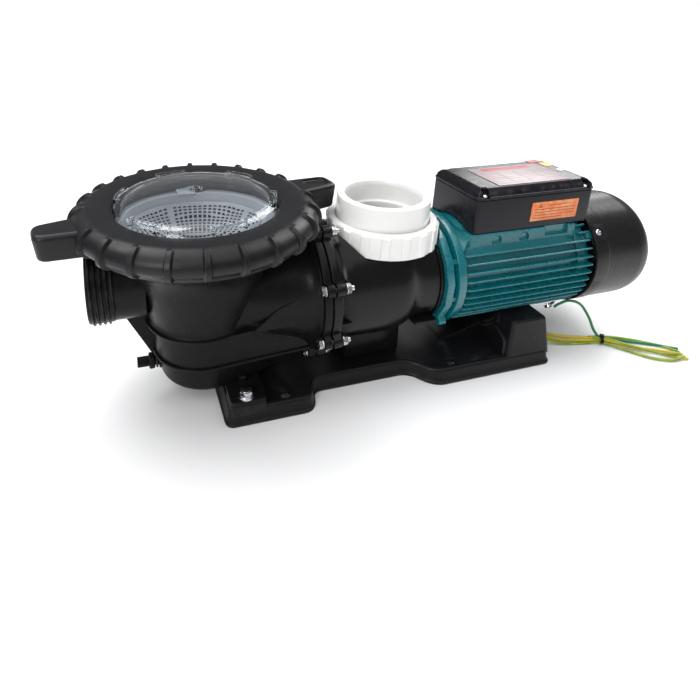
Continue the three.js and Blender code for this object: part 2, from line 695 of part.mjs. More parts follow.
// ---------------------------------------------------------------- motor
// Drive end shield: a wide front flange, a waist and the ring that meets the frame, round the
// drive end bearing. The flange has flats, two corner lugs low down and a hollow for the nut.
function driveEndShield() {
  const { start, flange, flangeEnd, ring, ringStart } = MOTOR;
  const shield = latheX(
    [
      [11, start], [60, start], [60, ringStart - 0.5], [ring, ringStart], [ring, 80.2],
      [59.8, 80.2], [59.8, 85], [55, 85], [55, 74], [30, 74], [30, 79], [24, 79], [24, 64.6],
      [11, 64.6],
    ],
    56,
  );
  const rim = [[50, start], [flange, start], [flange, flangeEnd], [50, flangeEnd]];
  const flats = latheX(rim, 42).rotate([8.6, 0, 0]);
  const corners = aboutX(box(start, flangeEnd, -6, 6, 60, 79), [127, -127]);
  return cut(join(shield, flats, corners), nutClearance(69.8, 1.2, 80));
}
put(motorGroup, "drive_end_shield", driveEndShield(), tealPaint);

// Frame: a tube with long fins, a raised seat for the terminal box and bosses for the saddle.
function motorFrame() {
  const { tube, bore, fin, tubeStart, tubeEnd, finEnd } = MOTOR;
  const shell = latheX([[bore, tubeStart], [tube, tubeStart], [tube, tubeEnd], [bore, tubeEnd]], 56);
  const finBar = box(tubeStart, finEnd, -1.3, 1.3, 62.2, fin);
  const fins = bothSides((side) => aboutX(finBar, angles(14, side * 57, side * 8.5))).flat();
  const seatTop = fromAxis(BOX.bottom) - GAP;
  const plinthTop = fromAxis(BOX.bottom + BOX.floor - BOX.wall - 0.5);
  const seat = join(
    plateX([[46, 28], [44, seatTop]], BOX.start + 1, tubeEnd),
    box(BOX.start + 4, tubeEnd, -41.3, 41.3, 50, plinthTop),
  );
  const { x, y } = SADDLE_BOLT;
  const bosses = join(sideBoxes(x - 10, x + 10, y - 9, y + 9, -78, -58));
  const bored = cylX(bore + 1, 60, 300, 48);
  return cut(
    join(shell, fins, cut(seat, bored), cut(bosses, bored)),
    saddleHoles(-90, -67),
    cylZ(BOX_LEAD_HOLE.radius, 40, 80, 16, BOX_LEAD_HOLE.x),
  );
}
put(motorGroup, "motor_frame", motorFrame(), tealPaint);

const coverScrewHoles = (radius, bottom) =>
  aboutX(cylZ(radius, bottom, 90, 10, COVER_SCREW.x), COVER_LUG_ANGLES);

// Rear end shield with the lugs that carry the fan cover.
function rearEndShield() {
  const rear = latheX(
    [
      [9.6, 262], [9.6, 258.8], [20.4, 258.8], [20.4, 246], [26, 246], [26, 252.3], [54, 252.3],
      [54, 247.5], [59.2, 247.5], [59.2, 252.3], [61.6, 252.3], [61.6, 258], [30, 258], [28, 262],
    ],
    48,
  );
  const lugs = join(aboutX(box(255, 283, -6, 6, 58.5, 69), COVER_LUG_ANGLES));
  const lugRelief = latheX([[61.9, 250], [80, 250], [80, 265.5], [61.9, 265.5]], 40);
  return cut(join(rear, cut(lugs, lugRelief)), coverScrewHoles(1.9, 62));
}
put(motorGroup, "rear_end_shield", rearEndShield(), tealPaint);

// Fan cover: a moulded cup with a rounded rim and a slotted end.
function fanCover() {
  const { start, end, radius, wall } = COVER;
  const bore = radius - wall - 0.8;
  const cup = latheX(
    [
      // outer face
      [radius, start], [radius, start + 20], [radius - 0.8, start + 21], [radius - 0.8, 346],
      [radius - 2.6, 356], [radius - 7.5, 364], [radius - 15, 369.4], [radius - 25, end - 0.3],
      [40, end], [0, end],
      // inner face
      [0, end - wall], [40, end - wall], [radius - 26, end - 3], [radius - 16.6, 366.8],
      [radius - 9.6, 361.8], [radius - 5.2, 354.6], [bore, 345], [bore, start],
    ],
    56,
  );
  const slots = aboutX(box(360, 380, 16, 46, -2.2, 2.2), angles(10));
  return cut(cup, slots, coverScrewHoles(2.3, 64));
}
put(motorGroup, "fan_cover", fanCover(), blackPlastic);

for (const side of ["front", "back"]) {
  const { radius } = COVER;
  const screw = join(cylZ(3.6, radius + GAP, radius + 2.2, 18), cylZ(1.5, 64, radius + 1, 8));
  const turnedScrew = screw.rotate([COVER_SCREW[side], 0, 0]);
  put(motorGroup, `fan_cover_screw_${side}`, turnedScrew, steel, [COVER_SCREW.x, 0, 0]);
}

// A plain sleeve on the shaft axis.
const sleeve = (inner, outer, start, end) =>
  latheX([[inner, start], [outer, start], [outer, end], [inner, end]], 36);

// Shaft, cores, windings and bearings.
const shaft = latheX(
  [[0, -36], [9, -36], [9, 58], [10, 59], [10, 221], [8.5, 222], [8.5, 310], [0, 310]],
  24,
);
const driveWinding = latheX([[37, 87], [50, 87], [54, 90], [54, 99.6], [36, 99.6]], 28);
const fanWinding = latheX([[36, 220.4], [56, 220.4], [56, 234], [52, 239], [37, 239]], 28);
put(motorGroup, "motor_shaft", shaft, bareSteel);
put(motorGroup, "rotor_core", sleeve(10.7, 33.3, CORE.start, CORE.end), lamination);
put(motorGroup, "stator_core", sleeve(35.4, 59.4, CORE.start, CORE.end), lamination);
put(motorGroup, "winding_drive_end", driveWinding, copper);
put(motorGroup, "winding_fan_end", fanWinding, copper);
put(motorGroup, "bearing_drive_end", sleeve(10.6, 23.5, 65, 78.8), bareSteel);
put(motorGroup, "bearing_fan_end", sleeve(9.1, 20, 246.4, 258.4), bareSteel);

function coolingFan() {
  const disc = [[9.2, 284], [57, 284], [57, 287.5], [16, 288.5], [14, 306], [9.2, 306]];
  return join(latheX(disc, 36), aboutX(box(287, 308, 12, 57, -1.4, 1.4), angles(6)));
}
put(motorGroup, "cooling_fan", coolingFan(), blackPlastic);

// Bolts from the saddle up into the frame's bosses.
for (const [side, name] of [[-1, "front"], [1, "back"]]) {
  const bolt = join(
    cylZ(3.7, fromAxis(24), -69, 12),
    hexHead(10, 5.4, fromAxis(POST.webTop + GAP)),
  );
  const place = [SADDLE_BOLT.x, side * SADDLE_BOLT.y, 0];
  put(motorGroup, `saddle_bolt_${name}`, bolt, steel, place);
}

// Earth screw low on the front of the frame, pointing in towards the shaft.
const earthScrew = join(cylZ(4.6, -3.4, 0, 14), cylZ(2, -1, 3.2, 8)).rotate([-38, 0, 0]);
put(motorGroup, "earth_screw", earthScrew, steel, [236, -46.2, -61.2]);

// ---------------------------------------------------------------- terminal box
// In the box's own frame: x from its middle, z from its bottom.
const BOX_HALF = (BOX.end - BOX.start) / 2;
const BOX_RIM = BOX.rim - BOX.bottom;
const LID_BOTTOM = BOX_RIM + 1.2;
const LID_TOP = BOX.top - BOX.bottom;
const LID_SCREW_SEAT = LID_BOTTOM + 2.2;
const CABLE_GLAND = { x: 60, z: 27 };

const boxScrewX = BOX_HALF - 11;
const boxScrewY = BOX.halfWidth - 5.6;
const BOX_SCREWS = [
  [-boxScrewX, -boxScrewY], [boxScrewX, -boxScrewY], [boxScrewX, boxScrewY],
  [-boxScrewX, boxScrewY],
];

// The box's plan drawn in by one distance along X and another along Y.
const boxPlan = (insetX, insetY, radius) =>
  centredPlan(insetX - BOX_HALF, BOX_HALF - insetX, BOX.halfWidth - insetY, radius);
const atBoxScrews = (radius, bottom, top, segments) =>
  BOX_SCREWS.map(([x, y]) => cylZ(radius, bottom, top, segments, x, y));
const boxPosts = (half, bottom, top) =>
  BOX_SCREWS.map(([x, y]) => box(x - half, x + half, y - half, y + half, bottom, top));

// Below its floor the box is a skirt that drops round the seat on the frame.
function terminalBox() {
  const { wall, floor, halfWidth } = BOX;
  const insideX = BOX_HALF - wall;
  const insideY = halfWidth - wall;
  const shell = cut(
    slab(boxPlan(0, 0, 4), 0, BOX_RIM, 3),
    slab(boxPlan(wall, wall, 2), floor, BOX_RIM + 5, 2),
    box(-insideX, insideX, -insideY, insideY, -1, floor - wall),
  );
  const leadX = BOX_LEAD_HOLE.x - middle(BOX.start, BOX.end);
  return cut(
    join(shell, boxPosts(5, floor - 1, BOX_RIM)),
    cylX(66, -BOX_HALF - 10, BOX_HALF + 10, 72, 0, AXIS_Z - BOX.bottom), // clears the frame
    atBoxScrews(1.9, BOX_RIM - 14, BOX_RIM + 5, 10),
    cylZ(BOX_LEAD_HOLE.radius, -2, 14, 16, leadX),
    cylY(8.4, halfWidth - 6, halfWidth + 4, 16, CABLE_GLAND.x, CABLE_GLAND.z),
  );
}
put(boxGroup, "terminal_box", terminalBox(), boxPlastic);

// Lid: screw posts at the corners, notched so that the screw heads show at its rim.
function boxLid() {
  const lip = slab(boxPlan(-0.8, -0.8, 4.5), LID_BOTTOM, LID_BOTTOM + 3, 3);
  const crown = slab(boxPlan(0, 0, 4), LID_BOTTOM + 2.5, LID_TOP, 3, (x, y) => [
    x - Math.sign(x) * 2.5,
    y - Math.sign(y) * 3.6,
  ]);
  const block = join(lip, crown);
  const hollow = slab(boxPlan(4, 5, 3), LID_BOTTOM - 1, LID_TOP - 3, 2);
  const posts = boxPosts(7.5, LID_BOTTOM, LID_TOP).map((post) => block.intersect(post));
  return cut(
    join(cut(block, hollow), posts),
    atBoxScrews(2.1, LID_BOTTOM - 3, LID_TOP + 3, 10),
    atBoxScrews(4.8, LID_SCREW_SEAT, LID_TOP + 3, 30),
  );
}
put(boxGroup, "terminal_box_lid", boxLid(), boxPlastic);

const boxGasket = cut(
  slab(boxPlan(0.6, 0.6, 3), BOX_RIM + 0.2, BOX_RIM + 1, 2),
  slab(boxPlan(2.6, 2.6, 2), BOX_RIM - 2, BOX_RIM + 3, 2),
);
put(boxGroup, "terminal_box_gasket", boxGasket, rubber);

BOX_SCREWS.forEach(([x, y], i) => {
  const headBottom = LID_SCREW_SEAT + GAP;
  const screw = join(
    cylZ(3.7, headBottom, headBottom + 2.4, 24),
    cylZ(1.6, BOX_RIM - 10, LID_SCREW_SEAT + 1, 8),
  );
  put(boxGroup, `box_lid_screw_${i + 1}`, screw, steel, [x, y, 0]);
});

put(boxGroup, "run_capacitor", cylX(15, -60, 22, 28), capShell, [0, 14, 26.4]);
const terminalBlock = box(-60, -14, -32, -12, BOX.floor + GAP, 27);
put(boxGroup, "terminal_block", terminalBlock, whitePlastic);

// Cable gland through the back wall.
function cableGland() {
  const wallY = BOX.halfWidth;
  return cut(
    join(
      prismY(12, wallY + GAP, wallY + GAP + 7, 6),
      cylY(8, wallY - 9, wallY + 2, 16),
      cylY(9.5, wallY + 5, wallY + 19, 18),
    ),
    cylY(4.6, wallY - 12, wallY + 24, 14),
  );
}
put(boxGroup, "cable_gland", cableGland(), blackPlastic, [CABLE_GLAND.x, 0, CABLE_GLAND.z]);

// Plain plates on the lid and on the front wall.
const LABEL_THICKNESS = 0.5;
const plateBottom = LID_TOP + GAP;
const labelBack = -BOX.halfWidth - GAP;
const ratingPlate = box(-51, 55, -37, 26, plateBottom, plateBottom + LABEL_THICKNESS);
const sideLabel = box(-6, 64, labelBack - LABEL_THICKNESS, labelBack, 9.5, 34);
put(boxGroup, "rating_plate", ratingPlate, paleFilm);
put(boxGroup, "side_label", sideLabel, orangeFilm);

// ---------------------------------------------------------------- leads
// Paths of [x, y, z], from the motor down to the floor.
const EARTH_LEAD_PATH = [
  [246, -50.5, 60], [262, -50, 66], [284, -52, 58], [302, -57, 34], [312, -60, 12],
  [324, -64, 5.6], [350, -74, 2.6], [380, -88, 2.4], [404, -104, 2.4],
];
const YELLOW_LEAD_PATH = [
  [207, -31, 33], [222, -34, 28], [240, -42, 12], [262, -47, 3.4], [290, -59, 2.6],
  [316, -71, 2.6], [346, -89, 2.6], [372, -108, 2.4], [390, -125, 2.4],
];
put(baseGroup, "earth_lead_green", lead(EARTH_LEAD_PATH, 1.7), greenWire);
put(baseGroup, "lead_yellow", lead(YELLOW_LEAD_PATH, 1.9), yellowWire);

export default group;
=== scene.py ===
import math

import bmesh
import bpy
from mathutils import Matrix, Vector


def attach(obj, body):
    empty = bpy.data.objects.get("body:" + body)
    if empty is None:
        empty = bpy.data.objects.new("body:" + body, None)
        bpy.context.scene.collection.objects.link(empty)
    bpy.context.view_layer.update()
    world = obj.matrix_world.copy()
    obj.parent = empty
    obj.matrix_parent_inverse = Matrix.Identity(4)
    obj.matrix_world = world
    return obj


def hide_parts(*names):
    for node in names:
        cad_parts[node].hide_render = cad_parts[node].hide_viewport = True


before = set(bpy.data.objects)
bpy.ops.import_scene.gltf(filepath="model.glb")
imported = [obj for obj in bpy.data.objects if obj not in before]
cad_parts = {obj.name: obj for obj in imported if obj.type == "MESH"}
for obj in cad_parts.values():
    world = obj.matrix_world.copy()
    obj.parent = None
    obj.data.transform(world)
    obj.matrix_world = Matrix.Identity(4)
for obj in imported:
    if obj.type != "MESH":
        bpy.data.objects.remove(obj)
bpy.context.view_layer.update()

MM = 0.001
AZ = 120.7  # shaft axis height
SX = -227.3  # strainer pot axis
TAU = 2 * math.pi
sin, cos, pi = math.sin, math.cos, math.pi


# ---------------------------------------------------------------- mesh code
class Shape:
    """Vertices and faces in millimetres."""

    def __init__(self, verts=(), faces=()):
        self.v = [tuple(p) for p in verts]
        self.f = [tuple(q) for q in faces]

    def add(self, *others):
        for s in others:
            o = len(self.v)
            self.v += s.v
            self.f += [tuple(i + o for i in q) for q in s.f]
        return self

    def moved(self, x=0, y=0, z=0):
        return Shape([(a + x, b + y, c + z) for a, b, c in self.v], self.f)

    def turned(self, axis, deg, at=(0, 0, 0)):
        m = Matrix.Translation(at) @ Matrix.Rotation(math.radians(deg), 4, axis) @ Matrix.Translation([-q for q in at])
        return Shape([tuple(m @ Vector(p)) for p in self.v], self.f)


def rp(points, n=5, closed=True):
    """A polyline with its corners rounded: points of (a, b[, cut]); cut is the length taken off each side."""
    out = []
    m = len(points)
    for i, p in enumerate(points):
        a, b = p[0], p[1]
        r = p[2] if len(p) > 2 else 0
        if r <= 0 or (not closed and i in (0, m - 1)):
            out.append((a, b))
            continue
        pa, pb = points[i - 1][0], points[i - 1][1]
        na, nb = points[(i + 1) % m][0], points[(i + 1) % m][1]
        d0, d1 = math.hypot(pa - a, pb - b), math.hypot(na - a, nb - b)
        t0, t1 = min(r, d0 * 0.49), min(r, d1 * 0.49)
        s = (a + (pa - a) * t0 / d0, b + (pb - b) * t0 / d0)
        e = (a + (na - a) * t1 / d1, b + (nb - b) * t1 / d1)
        for k in range(n + 1):
            t = k / n
            w0, w1, w2 = (1 - t) ** 2, 2 * t * (1 - t) * 0.92, t * t
            w = w0 + w1 + w2
            out.append(((w0 * s[0] + w1 * a + w2 * e[0]) / w, (w0 * s[1] + w1 * b + w2 * e[1]) / w))
    return out


def lathe(profile, n=96, axis="Z", at=(0, 0, 0), angles=None, mod=None):
    """A closed profile of (radius, height) turned round an axis."""
    ang = angles or [TAU * k / n for k in range(n)]
    n = len(ang)
    v, start = [], []
    for j, (r, h) in enumerate(profile):
        start.append(len(v))
        if r < 1e-6:
            v.append((0.0, 0.0, h))
        else:
            for t in ang:
                rr, hh = mod(r, h, t, j) if mod else (r, h)
                v.append((rr * cos(t), rr * sin(t), hh))
    f = []
    m = len(profile)
    for j in range(m):
        k = (j + 1) % m
        pj, pk = profile[j][0] < 1e-6, profile[k][0] < 1e-6
        if pj and pk:
            continue
        for i in range(n):
            i2 = (i + 1) % n
            if pj:
                f.append((start[j], start[k] + i, start[k] + i2))
            elif pk:
                f.append((start[j] + i, start[j] + i2, start[k]))
            else:
                f.append((start[j] + i, start[j] + i2, start[k] + i2, start[k] + i))
    if axis == "X":  # angle 0 points up, the profile height runs along +X
        v = [(h, -b, a) for a, b, h in v]
    elif axis == "Y":
        v = [(a, h, b) for a, b, h in v]
    return Shape(v, f).moved(*at)


def loft(loops, closed=False):
    n = len(loops[0])
    v = [p for loop in loops for p in loop]
    f = []
    m = len(loops)
    for j in range(m if closed else m - 1):
        k = (j + 1) % m
        for i in range(n):
            i2 = (i + 1) % n
            f.append((j * n + i, j * n + i2, k * n + i2, k * n + i))
    if not closed:
        f.append(tuple(range(n)))
        f.append(tuple(reversed(range((m - 1) * n, m * n))))
    return Shape(v, f)


def area(pts):
    return 0.5 * sum(pts[i - 1][0] * pts[i][1] - pts[i][0] * pts[i - 1][1] for i in range(len(pts)))


def inset(pts, d):
    """A closed outline moved inwards by d."""
    if abs(d) < 1e-9:
        return list(pts)
    s = 1 if area(pts) > 0 else -1
    out = []
    n = len(pts)
    for i in range(n):
        (ax, ay), (bx, by), (cx, cy) = pts[i - 1], pts[i], pts[(i + 1) % n]
        l0, l1 = math.hypot(bx - ax, by - ay) or 1e-9, math.hypot(cx - bx, cy - by) or 1e-9
        n0 = (-(by - ay) / l0 * s, (bx - ax) / l0 * s)
        n1 = (-(cy - by) / l1 * s, (cx - bx) / l1 * s)
        mx, my = n0[0] + n1[0], n0[1] + n1[1]
        q = mx * mx + my * my
        k = 2 * d / max(q, 0.6)
        out.append((bx + mx * k, by + my * k))
    # edges that the move has turned round are gathered where their neighbours meet
    for _ in range(6):
        bad = []
        for i in range(n):
            j = (i + 1) % n
            ex, ey = pts[j][0] - pts[i][0], pts[j][1] - pts[i][1]
            ox, oy = out[j][0] - out[i][0], out[j][1] - out[i][1]
            bad.append(ex * ox + ey * oy < -1e-9)
        if not any(bad) or all(bad):
            break
        i = 0
        while bad[i] or not bad[(i + 1) % n]:
            i = (i + 1) % n
        start = (i + 1) % n
        i = 0
        while i < n:
            a = (start + i) % n
            if not bad[a]:
                i += 1
                continue
            run = 0
            while bad[(a + run) % n] and run < n:
                run += 1
            b = (a + run) % n
            p, q = out[a], out[b]
            h, g = (a - 1) % n, (b + 1) % n
            d0 = (pts[a][0] - pts[h][0], pts[a][1] - pts[h][1])
            d1 = (pts[g][0] - pts[b][0], pts[g][1] - pts[b][1])
            det = d0[0] * d1[1] - d0[1] * d1[0]
            at = ((p[0] + q[0]) / 2, (p[1] + q[1]) / 2)
            if abs(det) > 0.05 * math.hypot(*d0) * math.hypot(*d1):
                t = ((q[0] - p[0]) * d1[1] - (q[1] - p[1]) * d1[0]) / det
                at = (p[0] + d0[0] * t, p[1] + d0[1] * t)
            for k in range(run + 1):
                out[(a + k) % n] = at
            i += run
    return out


def slab(outline, z0, z1, top=1.0, bottom=1.0, n=4, plane="XY", draft=0.0, shift=None):
    """An outline given height, with rounded rims. plane XY: height is z; YZ: height is x; XZ: height is y."""
    steps = []
    if bottom > 0:
        for k in range(n + 1):
            a = pi / 2 * k / n
            steps.append((bottom * (1 - sin(a)), z0 + bottom * (1 - cos(a))))
    else:
        steps.append((0, z0))
    if top > 0:
        for k in range(n + 1):
            a = pi / 2 * (1 - k / n)
            steps.append((top * (1 - sin(a)), z1 - top * (1 - cos(a))))
    else:
        steps.append((0, z1))
    loops = []
    for d, z in steps:
        t = (z - z0) / (z1 - z0)
        ring = inset(outline, d + draft * t)
        if shift:
            ring = [shift(a, b, t) for a, b in ring]
        if plane == "XY":
            loops.append([(a, b, z) for a, b in ring])
        elif plane == "YZ":
            loops.append([(z, a, b) for a, b in ring])
        else:
            loops.append([(a, z, b) for a, b in ring])
    return loft(loops)


def rect(x0, x1, y0, y1, r=1.0, n=4):
    return rp([(x0, y0, r), (x1, y0, r), (x1, y1, r), (x0, y1, r)], n)


def block(x0, x1, y0, y1, z0, z1, r=1.0, edge=0.8):
    return slab(rect(x0, x1, y0, y1, r), z0, z1, edge, edge)


def raw_box(x0, x1, y0, y1, z0, z1):
    return loft([[(x0, y0, z), (x1, y0, z), (x1, y1, z), (x0, y1, z)] for z in (z0, z1)])


def rod(r, h0, h1, axis="Z", at=(0, 0, 0), n=48, edge=0.0):
    if edge > 0:
        prof = rp([(0, h0), (r, h0, edge), (r, h1, edge), (0, h1)], 3)
    else:
        prof = [(0, h0), (r, h0), (r, h1), (0, h1)]
    return lathe(prof, n, axis, at)


def hexagon(across, z0, z1, chamfer=0.7):
    """A hexagon with its outer corners turned away."""
    r = across / math.sqrt(3)
    out = []
    for z, k in ((z0, 0.96), (z0 + chamfer * 0.5, 1.0), (z1 - chamfer, 1.0), (z1 - chamfer * 0.3, 0.965), (z1, 0.90)):
        ring = []
        for i in range(36):
            t = TAU * i / 36
            hexr = (across / 2) / cos(((t + pi / 6) % (pi / 3)) - pi / 6)
            ring.append((min(hexr, r * k) * cos(t), min(hexr, r * k) * sin(t), z))
        out.append(ring)
    return loft(out)


def catmull(points, per=10):
    out = []
    p = [points[0]] + list(points) + [points[-1]]
    for i in range(1, len(p) - 2):
        a, b, c, d = (Vector(q) for q in p[i - 1 : i + 3])
        for k in range(per):
            t = k / per
            out.append(0.5 * ((2 * b) + (c - a) * t + (2 * a - 5 * b + 4 * c - d) * t * t + (3 * b - a - 3 * c + d) * t ** 3))
    out.append(Vector(points[-1]))
    return out


def tube(points, r, n=14, per=10, smooth=True):
    path = catmull(points, per) if smooth else [Vector(p) for p in points]
    loops = []
    t0 = (path[1] - path[0]).normalized()
    side = t0.orthogonal().normalized()
    for i, p in enumerate(path):
        t = (path[min(i + 1, len(path) - 1)] - path[max(i - 1, 0)]).normalized()
        side = (side - t * side.dot(t)).normalized()
        up = t.cross(side)
        rr = r(i / (len(path) - 1)) if callable(r) else r
        loops.append([tuple(p + side * rr * cos(TAU * k / n) + up * rr * sin(TAU * k / n)) for k in range(n)])
    return loft(loops)


def helix(r0, r1, start, pitch, turns, base, tip, axis="Z", at=(0, 0, 0), per=72, up=1):
    """A thread ridge from root radius r0 to crest r1 that fades out at both ends."""
    total = int(per * turns)
    loops = []
    for i in range(total + 1):
        t = TAU * i / per
        fade = min(1.0, i / (per * 0.12) + 0.05, (total - i) / (per * 0.12) + 0.05)
        h = start + up * pitch * i / per
        rc = r0 + (r1 - r0) * fade
        ring = []
        for r, dh in ((r0 - 0.8, -base / 2), (rc, -tip / 2), (rc, tip / 2), (r0 - 0.8, base / 2)):
            a, b, c = r * cos(t), r * sin(t), h + dh
            ring.append((c, -b, a) if axis == "X" else (a, b, c))
        loops.append(ring)
    return loft(loops).moved(*at)


def torus(r, s, at=(0, 0, 0), axis="Z", n=120, m=12):
    return lathe([(r + s * cos(TAU * k / m), s * sin(TAU * k / m)) for k in range(m)], n, axis, at)


def polar(fn, n=360):
    return [(fn(TAU * k / n) * cos(TAU * k / n), fn(TAU * k / n) * sin(TAU * k / n)) for k in range(n)]


# ---------------------------------------------------------------- objects
def shade(me, angle=32):
    bm = bmesh.new()
    bm.from_mesh(me)
    bmesh.ops.remove_doubles(bm, verts=bm.verts, dist=2e-6)
    bmesh.ops.dissolve_degenerate(bm, edges=bm.edges, dist=1e-6)
    loose = [w for w in bm.verts if not w.link_faces]
    bmesh.ops.delete(bm, geom=loose, context="VERTS")
    bmesh.ops.recalc_face_normals(bm, faces=bm.faces)
    lim = math.radians(angle)
    for f in bm.faces:
        f.smooth = True
        f.material_index = 0
    for e in bm.edges:
        e.smooth = not (len(e.link_faces) != 2 or e.calc_face_angle(0) > lim)
    bm.to_mesh(me)
    bm.free()


def mesh_of(name, shape):
    me = bpy.data.meshes.new(name)
    me.from_pydata([(x * MM, y * MM, z * MM) for x, y, z in shape.v], [], shape.f)
    bm = bmesh.new()
    bm.from_mesh(me)
    bmesh.ops.remove_doubles(bm, verts=bm.verts, dist=1e-6)
    bmesh.ops.recalc_face_normals(bm, faces=bm.faces)
    bm.to_mesh(me)
    bm.free()
    return me


def temp(shape):
    o = bpy.data.objects.new("tmp", mesh_of("tmp", shape))
    bpy.context.scene.collection.objects.link(o)
    return o


def gauge(me):
    """Volume in cubic millimetres, and whether every edge has two faces."""
    bm = bmesh.new()
    bm.from_mesh(me)
    vol = bm.calc_volume(signed=True) * 1e9
    ok = len(bm.faces) > 3 and all(len(e.link_faces) == 2 for e in bm.edges)
    bm.free()
    return vol, ok


def applied(o, operand, op, solver, own=False):
    m = o.modifiers.new("b", "BOOLEAN")
    m.operation, m.object, m.solver = op, operand, solver
    if own:
        m.use_self = True
    bpy.context.view_layer.update()
    dg = bpy.context.evaluated_depsgraph_get()
    me = bpy.data.meshes.new_from_object(o.evaluated_get(dg))
    o.modifiers.clear()
    return me


def csg(base, adds=(), cuts=(), say=""):
    """base joined with adds, less cuts, as one mesh."""
    o = temp(base)
    vol, ok = gauge(o.data)
    if not ok:
        print("CSG open base", say, round(vol))
    for shapes, op in ((adds, "UNION"), (cuts, "DIFFERENCE")):
        for i, s in enumerate(shapes):
            c = temp(s)
            cv, cok = gauge(c.data)
            if not cok:
                print("CSG open operand", say, op, i, round(cv))
            good = None
            for solver, own in (("MANIFOLD", False), ("EXACT", False), ("EXACT", True)):
                me = applied(o, c, op, solver, own)
                nv, nok = gauge(me)
                slack = 1.0 + 1e-5 * abs(vol)
                fits = (vol - slack <= nv <= vol + abs(cv) + slack) if op == "UNION" else (vol - abs(cv) - slack <= nv <= vol + slack)
                if nok and fits and nv > 0:
                    good = me
                    break
                print("CSG retry", say, op, i, solver, own, "was", round(vol), "now", round(nv), "closed", nok, "operand", round(cv))
                bpy.data.meshes.remove(me)
            old = c.data
            bpy.data.objects.remove(c)
            bpy.data.meshes.remove(old)
            if good:
                old = o.data
                o.data = good
                bpy.data.meshes.remove(old)
                vol = nv
            else:
                print("CSG FAILED", say, op, i)
    me = o.data
    bpy.data.objects.remove(o)
    return me


def piece(name, made, mat, body="pump_body", cad=(), angle=32):
    me = made if isinstance(made, bpy.types.Mesh) else mesh_of(name, made)
    me.name = name
    shade(me, angle)
    me.materials.clear()
    me.materials.append(mat)
    o = bpy.data.objects.new(name, me)
    bpy.context.scene.collection.objects.link(o)
    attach(o, body)
    if cad:
        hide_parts(*([cad] if isinstance(cad, str) else cad))
    return o


